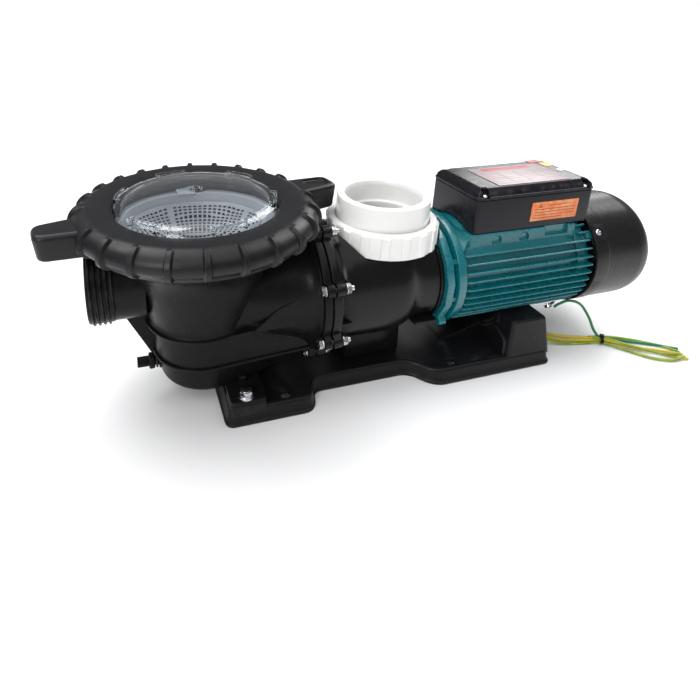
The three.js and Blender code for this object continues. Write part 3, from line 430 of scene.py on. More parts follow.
# ---------------------------------------------------------------- materials
def finish(name, color, rough=0.4, metal=0.0, coat=0.0, vary=0.12, rough_vary=0.08, bump=0.15, grain=1500, blotch=18,
           wear=None, wear_at=0.56, wear_mix=0.5, dust=0.0, bevel=0.0, spec=0.5, stretch=(1, 1, 1), sss=0.0, ior=1.5):
    m = bpy.data.materials.new(name)
    m.use_nodes = True
    nt = m.node_tree
    N, L = nt.nodes, nt.links
    b = N["Principled BSDF"]
    tc = N.new("ShaderNodeTexCoord")
    mp = N.new("ShaderNodeMapping")
    mp.inputs["Scale"].default_value = stretch
    L.new(tc.outputs["Object"], mp.inputs["Vector"])

    def noise(scale, detail=4, rough_=0.55):
        n = N.new("ShaderNodeTexNoise")
        n.inputs["Scale"].default_value = scale
        n.inputs["Detail"].default_value = detail
        n.inputs["Roughness"].default_value = rough_
        L.new(mp.outputs["Vector"], n.inputs["Vector"])
        return n

    def mapr(src, a, c, lo, hi):
        r = N.new("ShaderNodeMapRange")
        r.inputs["From Min"].default_value, r.inputs["From Max"].default_value = a, c
        r.inputs["To Min"].default_value, r.inputs["To Max"].default_value = lo, hi
        L.new(src, r.inputs["Value"])
        return r.outputs["Result"]

    def mix(fac, c1, c2):
        x = N.new("ShaderNodeMix")
        x.data_type = "RGBA"
        for sock, val in ((x.inputs[0], fac), (x.inputs[6], c1), (x.inputs[7], c2)):
            if hasattr(val, "links") or isinstance(val, bpy.types.NodeSocket):
                L.new(val, sock)
            else:
                sock.default_value = val if not isinstance(val, tuple) else (*val[:3], 1)
        return x.outputs[2]

    big, mid, fine = noise(blotch, 5), noise(blotch * 6, 4), noise(grain, 2)
    lo = tuple(c * (1 - vary) for c in color)
    hi = tuple(min(1, c * (1 + vary)) for c in color)
    col = mix(mapr(big.outputs["Fac"], 0.3, 0.7, 0, 1), lo, hi)
    rsum = N.new("ShaderNodeMath")
    rsum.operation = "ADD"
    L.new(mapr(mid.outputs["Fac"], 0.25, 0.75, -rough_vary, rough_vary), rsum.inputs[0])
    rsum.inputs[1].default_value = rough
    rout = rsum.outputs[0]
    if wear:
        geo = N.new("ShaderNodeNewGeometry")
        edge = mapr(geo.outputs["Pointiness"], wear_at - 0.03, wear_at + 0.04, 0, 1)
        brk = mapr(mid.outputs["Fac"], 0.42, 0.62, 0, 1)
        mul = N.new("ShaderNodeMath")
        mul.operation = "MULTIPLY"
        L.new(edge, mul.inputs[0])
        L.new(brk, mul.inputs[1])
        sc = N.new("ShaderNodeMath")
        sc.operation = "MULTIPLY"
        L.new(mul.outputs[0], sc.inputs[0])
        sc.inputs[1].default_value = wear_mix
        col = mix(sc.outputs[0], col, wear)
        ra = N.new("ShaderNodeMath")
        ra.operation = "MULTIPLY_ADD"
        L.new(sc.outputs[0], ra.inputs[0])
        ra.inputs[1].default_value = 0.2
        L.new(rout, ra.inputs[2])
        rout = ra.outputs[0]
    if dust:
        geo2 = N.new("ShaderNodeNewGeometry")
        sep = N.new("ShaderNodeSeparateXYZ")
        L.new(geo2.outputs["Normal"], sep.inputs[0])
        upf = mapr(sep.outputs["Z"], 0.6, 1.0, 0, dust)
        dm = N.new("ShaderNodeMath")
        dm.operation = "MULTIPLY"
        L.new(upf, dm.inputs[0])
        L.new(mapr(big.outputs["Fac"], 0.35, 0.75, 0.3, 1), dm.inputs[1])
        col = mix(dm.outputs[0], col, (0.32, 0.31, 0.30))
    if not isinstance(col, tuple):
        L.new(col, b.inputs["Base Color"])
    L.new(rout, b.inputs["Roughness"])
    b.inputs["Metallic"].default_value = metal
    b.inputs["Specular IOR Level"].default_value = spec
    b.inputs["IOR"].default_value = ior
    b.inputs["Coat Weight"].default_value = coat
    b.inputs["Coat Roughness"].default_value = 0.12
    if sss:
        b.inputs["Subsurface Weight"].default_value = sss
        b.inputs["Subsurface Radius"].default_value = (0.004, 0.004, 0.004)
        b.inputs["Subsurface Scale"].default_value = 1.0
    bp = N.new("ShaderNodeBump")
    bp.inputs["Strength"].default_value = bump
    bp.inputs["Distance"].default_value = 0.0002
    L.new(fine.outputs["Fac"], bp.inputs["Height"])
    if bevel:
        bv = N.new("ShaderNodeBevel")
        bv.samples = 4
        bv.inputs["Radius"].default_value = bevel * MM
        L.new(bv.outputs["Normal"], bp.inputs["Normal"])
    L.new(bp.outputs["Normal"], b.inputs["Normal"])
    return m


def clear_plastic(name, tint=(0.95, 0.98, 1.0), rough=0.03, through=0.9):
    m = finish(name, tint, rough, vary=0.01, rough_vary=0.015, bump=0.03, grain=400, blotch=9, ior=1.5)
    nt = m.node_tree
    N, L = nt.nodes, nt.links
    b = N["Principled BSDF"]
    b.inputs["Transmission Weight"].default_value = 1.0
    b.inputs["IOR"].default_value = 1.12
    b.inputs["Coat Weight"].default_value = 1.0
    b.inputs["Coat Roughness"].default_value = 0.03
    b.inputs["Coat IOR"].default_value = 1.5
    tr = N.new("ShaderNodeBsdfTransparent")
    tr.inputs["Color"].default_value = (through, through, through, 1)
    lp = N.new("ShaderNodeLightPath")
    mx = N.new("ShaderNodeMath")
    mx.operation = "MAXIMUM"
    L.new(lp.outputs["Is Shadow Ray"], mx.inputs[0])
    L.new(lp.outputs["Is Diffuse Ray"], mx.inputs[1])
    ms = N.new("ShaderNodeMixShader")
    L.new(mx.outputs[0], ms.inputs[0])
    L.new(b.outputs[0], ms.inputs[1])
    L.new(tr.outputs[0], ms.inputs[2])
    L.new(ms.outputs[0], N["Material Output"].inputs["Surface"])
    return m


grey_wear = (0.075, 0.075, 0.078)
M = dict(
    ring=finish("satin_black_ring", (0.007, 0.007, 0.008), 0.38, bump=0.14, grain=1300, wear=grey_wear, wear_mix=0.25, dust=0.005, bevel=0.5, spec=0.28),
    black=finish("satin_black", (0.006, 0.006, 0.0065), 0.32, bump=0.07, grain=1500, wear=grey_wear, wear_mix=0.22, dust=0.003, bevel=0.6, spec=0.13),
    base=finish("base_black", (0.006, 0.006, 0.007), 0.36, bump=0.09, grain=1100, wear=grey_wear, wear_mix=0.3, dust=0.005, bevel=0.6, spec=0.2),
    gloss=finish("gloss_black", (0.006, 0.006, 0.006), 0.22, rough_vary=0.05, bump=0.03, grain=1300, wear=grey_wear, wear_mix=0.22, dust=0.003, bevel=0.4, spec=0.2),
    cover=finish("cover_black", (0.007, 0.007, 0.0075), 0.30, rough_vary=0.06, bump=0.06, grain=1700, wear=grey_wear, wear_mix=0.25, dust=0.003, bevel=0.4, spec=0.3),
    box=finish("box_black", (0.009, 0.008, 0.011), 0.24, rough_vary=0.04, bump=0.015, grain=1200, wear=grey_wear, wear_mix=0.3, dust=0.002, bevel=0.4, spec=0.2),
    clear=clear_plastic("clear_polycarbonate"),
    basket=finish("basket_polypropylene", (0.36, 0.39, 0.43), 0.42, vary=0.05, bump=0.1, grain=900, wear=(0.75, 0.78, 0.8), wear_mix=0.3, sss=0.15),
    white=finish("white_pvc", (0.80, 0.80, 0.78), 0.22, vary=0.02, rough_vary=0.05, bump=0.04, grain=500, coat=0.15, wear=(0.66, 0.65, 0.61), wear_mix=0.25, sss=0.05, bevel=0.4),
    teal=finish("teal_paint", (0.001, 0.125, 0.148), 0.28, metal=0.0, coat=0.45, vary=0.10, rough_vary=0.07, bump=0.10, grain=700, blotch=26,
                wear=(0.01, 0.25, 0.29), wear_mix=0.5, dust=0.0, bevel=0.5),
    rubber=finish("black_rubber", (0.012, 0.012, 0.012), 0.75, bump=0.25, grain=900, wear=(0.05, 0.05, 0.05)),
    chrome=finish("bright_screw", (0.68, 0.69, 0.71), 0.20, metal=1.0, vary=0.06, rough_vary=0.08, bump=0.08, grain=1800, wear=(0.35, 0.34, 0.33), bevel=0.2),
    steel=finish("turned_steel", (0.45, 0.46, 0.48), 0.34, metal=1.0, vary=0.08, bump=0.2, grain=900, stretch=(1, 12, 12), wear=(0.6, 0.6, 0.6)),
    copper=finish("varnished_copper", (0.42, 0.14, 0.05), 0.35, metal=0.7, vary=0.25, bump=0.5, grain=420, wear=(0.6, 0.3, 0.15)),
    hydraulics=finish("grey_filled_resin", (0.045, 0.05, 0.055), 0.45, bump=0.15, wear=(0.14, 0.14, 0.15)),
    ceramic=finish("lapped_ceramic", (0.74, 0.71, 0.64), 0.25, vary=0.03, bump=0.03, wear=(0.6, 0.58, 0.52)),
    lamination=finish("laminated_steel", (0.11, 0.115, 0.12), 0.5, metal=0.8, bump=0.6, grain=260, stretch=(14, 1, 1), wear=(0.3, 0.3, 0.3)),
    green=finish("green_insulation", (0.006, 0.17, 0.06), 0.38, vary=0.15, bump=0.08, wear=(0.05, 0.3, 0.15)),
    yellow=finish("yellow_insulation", (0.58, 0.44, 0.015), 0.38, vary=0.10, bump=0.08, wear=(0.75, 0.65, 0.2)),
    lime=finish("lime_insulation", (0.22, 0.33, 0.02), 0.38, vary=0.35, blotch=60, bump=0.08, wear=(0.5, 0.55, 0.2)),
    orange=finish("orange_film", (0.72, 0.175, 0.03), 0.42, vary=0.04, bump=0.05, wear=(0.8, 0.5, 0.3)),
    deep_orange=finish("dark_orange_film", (0.36, 0.06, 0.012), 0.42, vary=0.05, bump=0.05, wear=(0.5, 0.2, 0.1)),
    pale=finish("pale_film", (0.30, 0.235, 0.25), 0.40, metal=0.1, vary=0.04, bump=0.04, wear=(0.7, 0.68, 0.66)),
    pale_line=finish("plate_line", (0.10, 0.07, 0.08), 0.4, vary=0.04, bump=0.04, wear=(0.3, 0.3, 0.3)),
    red=finish("red_film", (0.30, 0.014, 0.012), 0.40, vary=0.06, bump=0.05, wear=(0.6, 0.2, 0.15)),
    amber=finish("amber_film", (0.80, 0.36, 0.02), 0.40, vary=0.05, bump=0.05, wear=(0.8, 0.6, 0.3)),
    can=finish("capacitor_can", (0.66, 0.66, 0.62), 0.4, vary=0.03, bump=0.06, wear=(0.5, 0.5, 0.48)),
)

# ---------------------------------------------------------------- lid ring
EAR = 10.0
RIB_AT = [EAR + 15 * k for k in range(24) if k not in (0, 12)]


def ring_mod(r, h, t, j):
    d = min(abs((math.degrees(t) - c + 180) % 360 - 180) for c in RIB_AT)
    rise = 1.0 if d < 1.05 else max(0.0, 1 - (d - 1.05) / 0.7)
    rise = rise * rise * (3 - 2 * rise)
    if h < 230 and r < 121:
        return r, h
    w = max(0.0, min(1.0, (r - 117.5) / 5.0)) if h > 226 else max(0.0, min(1.0, (h - 212.5) / 3.5))
    dx, dz = r - 121.0, h - 226.0
    q = math.hypot(dx, dz) or 1
    k = 3.3 * rise * w
    # between the ribs the shoulder is very slightly hollow
    k -= 0.5 * w * (1 - rise) * (1 - min(1.0, abs(d - 7.5) / 7.5))
    return r + dx / q * k, h + dz / q * k


ring_angles = sorted(
    math.radians((EAR + 15 * k + o) % 360)
    for k in range(24)
    for o in (-7.5, -5.6, -3.9, -2.7, -2.0, -1.75, -1.5, -1.25, -1.05, -0.5, 0.5, 1.05, 1.25, 1.5, 1.75, 2.0, 2.7, 3.9, 5.6)
)
ring_profile = rp(
    [(91.2, 230.2, 0.5), (91.2, 238.3, 1.3), (93.6, 240.0, 1.2), (103, 241.7, 4), (113, 242.3, 5), (117.5, 242.0), (120, 241.3), (122.5, 240.4), (125, 239.2),
     (128.5, 236.8, 2), (132, 232.8, 2.5), (134, 227.6, 2.5), (133.6, 222.6, 2.5), (131.0, 219.0, 2), (127.6, 216.6, 1.5), (125.2, 214.4, 1.2), (123.4, 212.2, 1), (122, 209.6, 0.8),
     (116, 209.6, 0.5), (116, 224, 0.5), (111.5, 227, 0.5), (111.5, 230.2, 0.3)],
    3,
)
ring = piece("ring_body", lathe(ring_profile, axis="Z", at=(SX, 0, 0), angles=ring_angles, mod=ring_mod), M["ring"], "ring", "lid_ring", 40)

ear_plan = rp([(117.2, -23, 0), (124, -22.5, 3), (150, -20, 9), (174.4, -17, 11), (174.4, 17, 11), (150, 20, 9), (124, 22.5, 3), (117.2, 23, 0)], 6)


def ear_shift(a, b, t):
    k = 1 - 0.06 * (1 - t) * max(0.0, (a - 120) / 55)
    return a - 3.5 * (1 - t) * max(0.0, (a - 130) / 45), b * k


for name, turn in (("left", 180), ("right", 0)):
    ear = slab(ear_plan, 209.8, 239.2, 6.0, 3.0, 6, shift=ear_shift)
    if name == "left":  # the plain ear is a little the shorter
        ear = Shape([(a - 4.0 * max(0.0, min(1.0, (a - 125) / 30)), b * 0.97, c - 2.4 - 1.2 * max(0.0, min(1.0, (c - 215) / 20))) for a, b, c in ear.v], ear.f)
    dish = slab(rect(137, 166, -11.5, 11.5, 8, 6), 236.2, 246, 0, 2.6, 5)
    me = csg(ear.turned("Z", EAR + turn).moved(SX), cuts=[dish.turned("Z", EAR + turn).moved(SX)] if name == "right" else [])
    piece(f"ring_ear_{name}", me, M["ring"], "ring", "lid_ring", 34)

# inner thread of the ring: three coarse ridges inside the skirt
piece(
    "ring_thread", helix(116.4, 114.6, 212.5, 4.0, 2.2, 3.0, 1.4, at=(SX, 0, 0), per=120), M["ring"], "ring", "lid_ring",
)

# ---------------------------------------------------------------- clear lid
lid_profile = rp(
    [(0, 248.8), (20, 248.5), (40, 247.2, 6), (68, 243.4, 8), (80, 239.0, 4), (84.6, 230, 4), (84.6, 223.0, 0.6), (109.5, 223.0, 0.6), (109.5, 229.5, 0.8), (89.6, 229.5, 0.8),
     (89.2, 240.3, 2.2), (84, 244.7, 2.5), (70, 248.4, 8), (40, 252.0, 12), (20, 253.2, 6), (6.6, 253.7, 0.8), (6.0, 255.2, 0.6), (4.2, 255.2, 0.6), (3.6, 254.2, 0.6), (0, 254.2)],
    5,
)
me = csg(
    lathe(lid_profile, 160, "Z", (SX, 0, 0)),
    adds=[
        loft([
            [(r * cos(t) + SX, r * sin(t), z) for r, z in rp([(79.5, 240.2), (88.4, 240.2), (88.6, 246.6, 0.8), (86.8, 247.0, 0.6), (86.2, 244.4, 0.6), (79.5, 244.8)], 3)]
            for t in (math.radians(60 * i + 43 + 11.5 * (k - 6) / 6) for k in range(13))
        ])
        for i in range(6)
    ],
)
piece("lid_dome", me, M["clear"], "lid", "clear_lid", 30)
for i in range(6):
    for k in (-1, 1):
        t = 60 * i + 43 + 11.5 * k
        post = loft([
            [(r * cos(a) + SX, r * sin(a), z) for r, z in rp([(80.5, 238.2, 0.4), (88.2, 238.2, 0.4), (88.4, 246.4, 0.8), (80.8, 246.4, 1.2)], 3)]
            for a in (math.radians(t - 0.8), math.radians(t + 0.8))
        ])
        piece(f"lid_tab_{i + 1}{'a' if k < 0 else 'b'}", post, M["clear"], "lid", "clear_lid", 30)

# ---------------------------------------------------------------- basket
NT = 80
levels = [109.0, 113.5, 118.4, 123.3, 128.2, 133.1, 138.0, 142.9, 147.8, 152.7, 157.6, 162.5, 167.4, 172.0, 176.4, 180.6, 184.6, 188.4, 192.0, 195.8, 199.8, 204.0]


def wall_r(z):
    pts = [(106, 49.5), (150, 60.5), (174, 68.5), (191, 80), (203, 87), (213, 88)]
    for (za, ra), (zb, rb) in zip(pts, pts[1:]):
        if z <= zb:
            return ra + (rb - ra) * (z - za) / (zb - za)
    return pts[-1][1]


def kind(i, j):
    t = TAU * (i + 0.5) / NT
    z = (levels[j] + levels[j + 1]) / 2
    r = wall_r(z)
    y = r * sin(t)
    if cos(t) < 0 and math.hypot(y, z - 155.0) < 31:
        return 0
    if cos(t) < 0 and math.hypot(y, z - 155.0) < 37:
        return 2
    if i % 16 == 7 or j in (0, 20):
        return 2
    return 1


def cell_point(u, v, layer):
    j = min(int(v), len(levels) - 2)
    z = levels[j] + (levels[j + 1] - levels[j]) * (v - j)
    r = wall_r(z) - (2.2 if layer else 0.0)
    t = TAU * u / NT
    return (SX + r * cos(t), r * sin(t), z)


lattice = Shape()
rows = len(levels) - 1
for i in range(NT):
    for j in range(rows):
        k = kind(i, j)
        if k == 0:
            continue
        o = [(i, j), (i + 1, j), (i + 1, j + 1), (i, j + 1)]
        q = [(i + 0.16, j + 0.16), (i + 0.84, j + 0.16), (i + 0.84, j + 0.84), (i + 0.16, j + 0.84)]
        for layer in (0, 1):
            if k == 2:
                lattice.add(Shape([cell_point(*p, layer) for p in o], [(0, 1, 2, 3)]))
            else:
                lattice.add(Shape([cell_point(*p, layer) for p in o + q], [(0, 1, 5, 4), (1, 2, 6, 5), (2, 3, 7, 6), (3, 0, 4, 7)]))
        if k == 1:
            lattice.add(Shape([cell_point(*p, 0) for p in q] + [cell_point(*p, 1) for p in q], [(0, 1, 5, 4), (1, 2, 6, 5), (2, 3, 7, 6), (3, 0, 4, 7)]))
        for (di, dj), (a, b) in (((0, -1), (0, 1)), ((1, 0), (1, 2)), ((0, 1), (2, 3)), ((-1, 0), (3, 0))):
            jj = j + dj
            if jj < 0 or jj >= rows or kind((i + di) % NT, jj) == 0:
                lattice.add(Shape([cell_point(*o[a], 0), cell_point(*o[b], 0), cell_point(*o[b], 1), cell_point(*o[a], 1)], [(0, 1, 2, 3)]))
piece("basket_lattice", lattice, M["basket"], "basket", "strainer_basket", 40)
piece(
    "basket_rim",
    lathe(rp([(85.0, 202.6, 0.5), (87.3, 202.6, 0.5), (88.2, 212.9, 0.8), (96.3, 212.9, 0.8), (96.3, 215.6, 1.0), (87.2, 215.6, 1.5), (84.8, 205, 1)], 4), 160, "Z", (SX, 0, 0)),
    M["basket"], "basket", "strainer_basket", 34,
)
# the floor is a grid of crossing bars inside a rim
grid = lathe(rp([(45.6, 106.2, 0.4), (49.6, 106.2, 1.5), (50.6, 110.2, 0.6), (47.6, 110.2, 0.8), (45.6, 108.4, 0.6)], 3), 120, "Z", (SX, 0, 0))
for k in range(-6, 7):
    c = 7.0 * k
    half = (46.4 ** 2 - c * c) ** 0.5
    w = 1.5 if k == 0 else 0.85
    grid.add(block(SX - half, SX + half, c - w, c + w, 106.5, 108.3, 0.4, 0.3))
    grid.add(block(SX + c - w, SX + c + w, -half, half, 106.35, 108.12, 0.4, 0.3))
piece("basket_floor", grid, M["basket"], "basket", "strainer_basket", 34)
piece(
    "basket_mouth",
    loft([
        [
            (SX - (wall_r(155 + rr * sin(t)) ** 2 - (rr * cos(t)) ** 2) ** 0.5 + dx, rr * cos(t), 155 + rr * sin(t))
            for rr, dx in ((30.4, -0.4), (33.4, -0.4), (33.4, 2.8), (30.4, 2.8))
        ]
        for t in (TAU * k / 72 for k in range(72))
    ], closed=True),
    M["basket"], "basket", "strainer_basket", 34,
)
for side, k in (("front", -1), ("back", 1)):
    finger = loft([
        [(SX + r * cos(a), r * sin(a), z) for r, z in rp([(84.6, 214.6), (94.0, 214.6), (94.0, 219.2, 1.2), (88.5, 219.4, 1.6)], 3)]
        for a in (math.radians(90 * k + 7.4 * (m - 4) / 4) for m in range(9))
    ])
    piece(f"basket_finger_{side}", finger, M["basket"], "basket", "strainer_basket", 34)

# ---------------------------------------------------------------- strainer housing
FL0, FL1, FL2, FL3 = -103.0, -94.5, -92.5, -82.0


def keyhole(cx, r, x_end, half, n=44):
    a = math.acos(min(0.999, max(-0.999, (r - half) / (x_end - cx + 40)))) * 0.98
    pts = [(cx + r * cos(a + (TAU - 2 * a) * i / n), r * sin(a + (TAU - 2 * a) * i / n)) for i in range(n + 1)]
    return pts + [(x_end, -half), (x_end, half)]


def flange_plan(scale=1.0):
    def edge(t):
        r = 82.0
        for i in range(8):
            c = math.radians(22.5 + 45 * i)
            d = (t - c + pi) % TAU - pi
            if abs(86 * sin(d)) < 7.4 and abs(d) < pi / 2:
                r = max(r, 86 * cos(d) + (7.4 ** 2 - (86 * sin(d)) ** 2) ** 0.5)
        return r

    # angle 0 is straight up
    return [(edge(t) * sin(t), AZ + edge(t) * cos(t)) for t in (TAU * k / 480 for k in range(480))]


BOLTS = [(86 * sin(math.radians(22.5 + 45 * i)), AZ + 86 * cos(math.radians(22.5 + 45 * i))) for i in range(8)]

cone = lathe(
    rp([(0, 98.6), (60.2, 98.6, 0.8), (64.6, 99.9, 0.9), (64.6, 102.0, 0.9), (61.0, 103.4, 1.6), (61.2, 108, 3), (65.6, 126, 10), (71.8, 148, 12), (79.6, 173, 12), (92, 191.5, 12),
        (106.5, 203, 6), (112.6, 208.6, 3), (113, 222.5, 1.2), (0, 222.5)], 6),
    160, "Z", (SX, 0, 0),
)
mid = slab(keyhole(SX, 55.0, FL0 + 2, 45.5), 59, 99.5, 0, 0, draft=-2.4)
ledge_low = slab(keyhole(SX, 57.9, FL0 + 1, 47.8), 57.2, 60.9, 1.2, 1.2)
ledge_up = slab(keyhole(SX, 62.8, FL0 + 1, 49.2), 99.4, 102.4, 1.1, 1.1)
lower = slab(keyhole(SX + 4, 53.2, SX + 100, 28), 26, 58.6, 0, 8, 7, draft=-1.4)
crown = slab(keyhole(SX, 58, FL0 + 1, 38), 101, 152, 14, 0, 7, draft=1.0)
throat = lathe(rp([(0, -192), (52, -192), (59, -160, 12), (64, -124, 12), (70, -110, 6), (79, -103.6, 2), (0, -102.6)], 6), 128, "X", (0, 0, AZ))
disc = slab(flange_plan(), FL0, FL1, 0.5, 1.1, plane="YZ")
port = lathe(
    rp([(0, -290), (43.2, -290), (43.2, -322.6, 1.5), (44.2, -323.6, 0.6), (44.2, -349.2, 1.0), (43.0, -350, 0.4), (0, -350)], 4), 128, "X", (0, 0, 155),
)
gusset = slab(rp([(-318, 117), (-286, 53, 3), (-262, 53), (-250, 117)], 3), -3.6, 3.6, 1.0, 1.0, plane="XZ")
boss = lathe(rp([(0, -279), (9.4, -279, 0.8), (10.4, -276, 1), (10.6, -262), (0, -262)], 3), 48, "X", (0, 0, 41))
feet = []
for m in (-1, 1):
    y = sorted((m * 30, m * 82))
    feet.append(slab(rp([(-208.4, y[0], 6 if m < 0 else 0.5), (-167.8, y[0], 6 if m < 0 else 0.5), (-167.8, y[1], 6 if m > 0 else 0.5), (-208.4, y[1], 6 if m > 0 else 0.5)], 5), 25.0, 30.0, 1.2, 0.4))
    feet.append(slab(rp([(-198, m * 30), (-178, m * 30), (-184, m * 53, 2), (-192, m * 53, 2)] if m > 0 else [(-198, -30), (-192, -53, 2), (-184, -53, 2), (-178, -30)], 3), 28, 38, 2, 0, draft=1.2))
webs = [
    slab(rp([(-178, 103), (-104, 103), (-104, 146, 1), (-150, 128, 6)], 4), s * 60 - 1.8, s * 60 + 1.8, 0.6, 0.6, plane="XZ") for s in (-1, 1)
]
collar_thread = helix(112.7, 114.4, 210.6, 4.0, 2.4, 3.0, 1.2, at=(SX, 0, 0), per=120)
inner = lathe(
    rp([(0, 31), (38, 31, 5), (47, 41, 5), (51, 100, 3), (56, 106, 4), (67.3, 150, 10), (75.3, 173, 10), (87, 191, 8), (91, 199, 3), (91, 212.6, 0.5), (98, 212.6, 0.5), (98, 240), (0, 240)], 5),
    144, "Z", (SX, 0, 0),
)
passage = rod(45.8, SX + 2, FL1 + 3, "X", (0, 0, AZ), 96)
inlet = lathe([(0, -356), (34, -356), (34, SX - 18), (0, SX - 18)], 96, "X", (0, 0, 155))
mouth_chamfer = lathe([(0, -352), (37.2, -352), (33.9, -346.6), (0, -346.6)], 96, "X", (0, 0, 155))
groove = lathe([(100.6, 218.2), (107.8, 218.2), (107.8, 230), (100.6, 230)], 144, "Z", (SX, 0, 0))
drain = rod(6.3, -290, SX - 20, "X", (0, 0, 41), 32)
foot_bores = [rod(4.6, 18, 44, "Z", (-190, m * 73, 0), 32) for m in (-1, 1)]
flange_bores = [rod(3.4, FL0 - 8, FL1 + 2, "X", (0, y, z), 24) for y, z in BOLTS]
housing = csg(
    cone,
    adds=[mid, ledge_low, ledge_up, lower, crown, throat, disc, port, gusset, boss] + feet + webs,
    cuts=[inner, passage, inlet, mouth_chamfer, groove, drain] + foot_bores + flange_bores,
)
piece("pot_housing", housing, M["black"], "pump_body", "strainer_housing", 30)
piece("pot_collar_thread", collar_thread, M["black"], "pump_body", "strainer_housing", 30)
piece(
    "suction_thread",
    helix(44.1, 46.4, -346.6, 5.4, 4.3, 4.4, 1.5, axis="X", at=(0, 0, 155), per=120), M["black"], "pump_body", "strainer_housing", 30,
)
piece("lid_seal", torus(104.2, 1.75, (SX, 0, 220.45)), M["rubber"], "pump_body", "lid_oring")

# ---------------------------------------------------------------- drain plug
plug = Shape().add(
    lathe(rp([(0, -290.6), (8.2, -290.6, 0.8), (9.2, -289.4, 0.6), (9.2, -284, 0.8), (7.0, -283.4, 0.4), (5.8, -283.2), (5.8, -268, 1.0), (0, -268)], 3), 48, "X", (0, 0, 41),
          mod=lambda r, h, t, j: (r + (0.35 * (1 if (int(math.degrees(t) / 7.5) % 2) else 0) if r > 8.5 else 0), h)),
    slab(rp([(-8, 39, 1.2), (8, 39, 1.2), (8, 43, 1.2), (-8, 43, 1.2)], 3), -304, -289.5, 1.6, 0.4, plane="YZ"),
)
piece("drain_knob", plug, M["black"], "drain_plug", "drain_plug")
piece("drain_thread", helix(5.6, 6.25, -281.6, 1.6, 7, 1.3, 0.4, axis="X", at=(0, 0, 41), per=36), M["black"], "drain_plug", "drain_plug")
piece("drain_seal_ring", torus(7.7, 1.35, (-281.3, 0, 41), "X", 60), M["rubber"], "drain_seal", "drain_plug_oring")

# ---------------------------------------------------------------- volute
under_nut = 168.2
drum = lathe(
    rp([(0, -85), (70, -85), (67, -77, 4), (73, -67, 7), (73.4, -20, 10), (73, 6, 8), (65.5, 22, 8), (64.4, 44, 3), (64.4, 50, 1.2), (0, 50)], 6), 160, "X", (0, 0, AZ),
)


drum_me = csg(drum, cuts=[rod(69.5, under_nut, 240, "Z", n=128)])


def shape_of(me):
    return Shape([(v.co.x / MM, v.co.y / MM, v.co.z / MM) for v in me.vertices], [tuple(p.vertices) for p in me.polygons])


riser = lathe(
    rp([(0, 60), (30, 60, 4), (44, 66, 6), (51, 82, 10), (52, 110, 6), (52, 160, 2), (53.5, 164.5, 2), (59.5, 166.2, 1.5), (60.2, 168.2, 0.6), (53, 168.6, 0.4), (53, 171.3, 0.4), (60.6, 172.2, 0.5),
        (60.8, 188.5, 0.8), (0, 188.5)], 5),
    144, "Z",
)
vfoot = slab(rect(-52, 26, -30, 30, 6), 19.0, 78, 0, 1.5, draft=2.0)
fins = [
    slab(rp([(-86, -74), (-66, -72, 4), (-50, -60, 8), (-50, 60, 8), (-66, 72, 4), (-86, 74)], 5), 99.6, 103.0, 0.9, 0.9),
    slab(rp([(20, -66.5, 2), (49.8, -66.5, 2), (49.8, 66.5, 2), (20, 66.5, 2)], 3), 79.6, 83.2, 0.9, 0.9),
    slab(rp([(-86, 45), (-52, 45, 6), (-56, 190, 3), (-78, 201, 3), (-86, 201)], 4), -2.2, 2.2, 0.7, 0.7, plane="XZ"),
]
vdisc = slab(flange_plan(), FL2, FL3, 1.1, 0.5, plane="YZ")
face = raw_box(50, 66, -70, 70, 40, under_nut - 0.1)

volute = csg(
    shape_of(drum_me),
    adds=[riser, vfoot, vdisc] + fins[:2],
    cuts=[face, rod(45, -50, 60, "X", (0, 0, AZ), 96), rod(32, -96, -46, "X", (0, 0, AZ), 72), rod(45, AZ + 22, 200, "Z", n=96),
          lathe([(49.6, 184.9), (54.6, 184.9), (54.6, 195), (49.6, 195)], 120)] + [rod(3.4, FL2 - 2, FL3 + 6, "X", (0, y, z), 24) for y, z in BOLTS],
)
piece("volute_body", volute, M["gloss"], "pump_body", "volute_casing", 30)
piece("volute_thread", helix(60.5, 61.6, 174.6, 6.0, 1.9, 3.2, 1.2, per=120), M["gloss"], "pump_body", "volute_casing", 30)
piece("flange_gasket", lathe(rp([(50, -94.2, 0.2), (78, -94.2, 0.3), (78, -92.8, 0.3), (50, -92.8, 0.2)], 2), 128, "X", (0, 0, AZ)), M["rubber"], "pump_body", "casing_gasket")

# flange bolts: hexagon head, washer, nut and thread
for i, (y, z) in enumerate(BOLTS):
    s = Shape()
    s.add(hexagon(10, 0, 4.2).turned("Y", -90).moved(-104.8, 0, 0))
    s.add(rod(6.2, -104.9, -104.2, "X", n=36, edge=0.25))
    s.add(rod(6.2, FL3 + 1.2, FL3 + 2.1, "X", n=36, edge=0.25))
    s.add(hexagon(10, 0, 5.0).turned("Y", 90).moved(FL3 + 2.0, 0, 0))
    s.add(rod(2.95, -106, FL3 + 10.8, "X", n=24, edge=0.5))
    s.add(helix(2.85, 3.15, FL3 + 6.8, 1.0, 3.6, 0.8, 0.25, axis="X", per=24))
    piece(f"clamp_bolt_{i + 1}", s.turned("X", 11 * i).moved(0, y, z), M["chrome"], "pump_body", f"flange_bolt_{i + 1}")

# ---------------------------------------------------------------- discharge union
nut_angles = sorted(
    math.radians((20 * (i + 0.35) + o) % 360) for i in range(18) for o in (-10, -7.8, -5.9, -5.1, -4.8, -4.5, -4.2, -3.9, -3.0, 0, 3.0, 3.9, 4.2, 4.5, 4.8, 5.1, 5.9, 7.8)
)


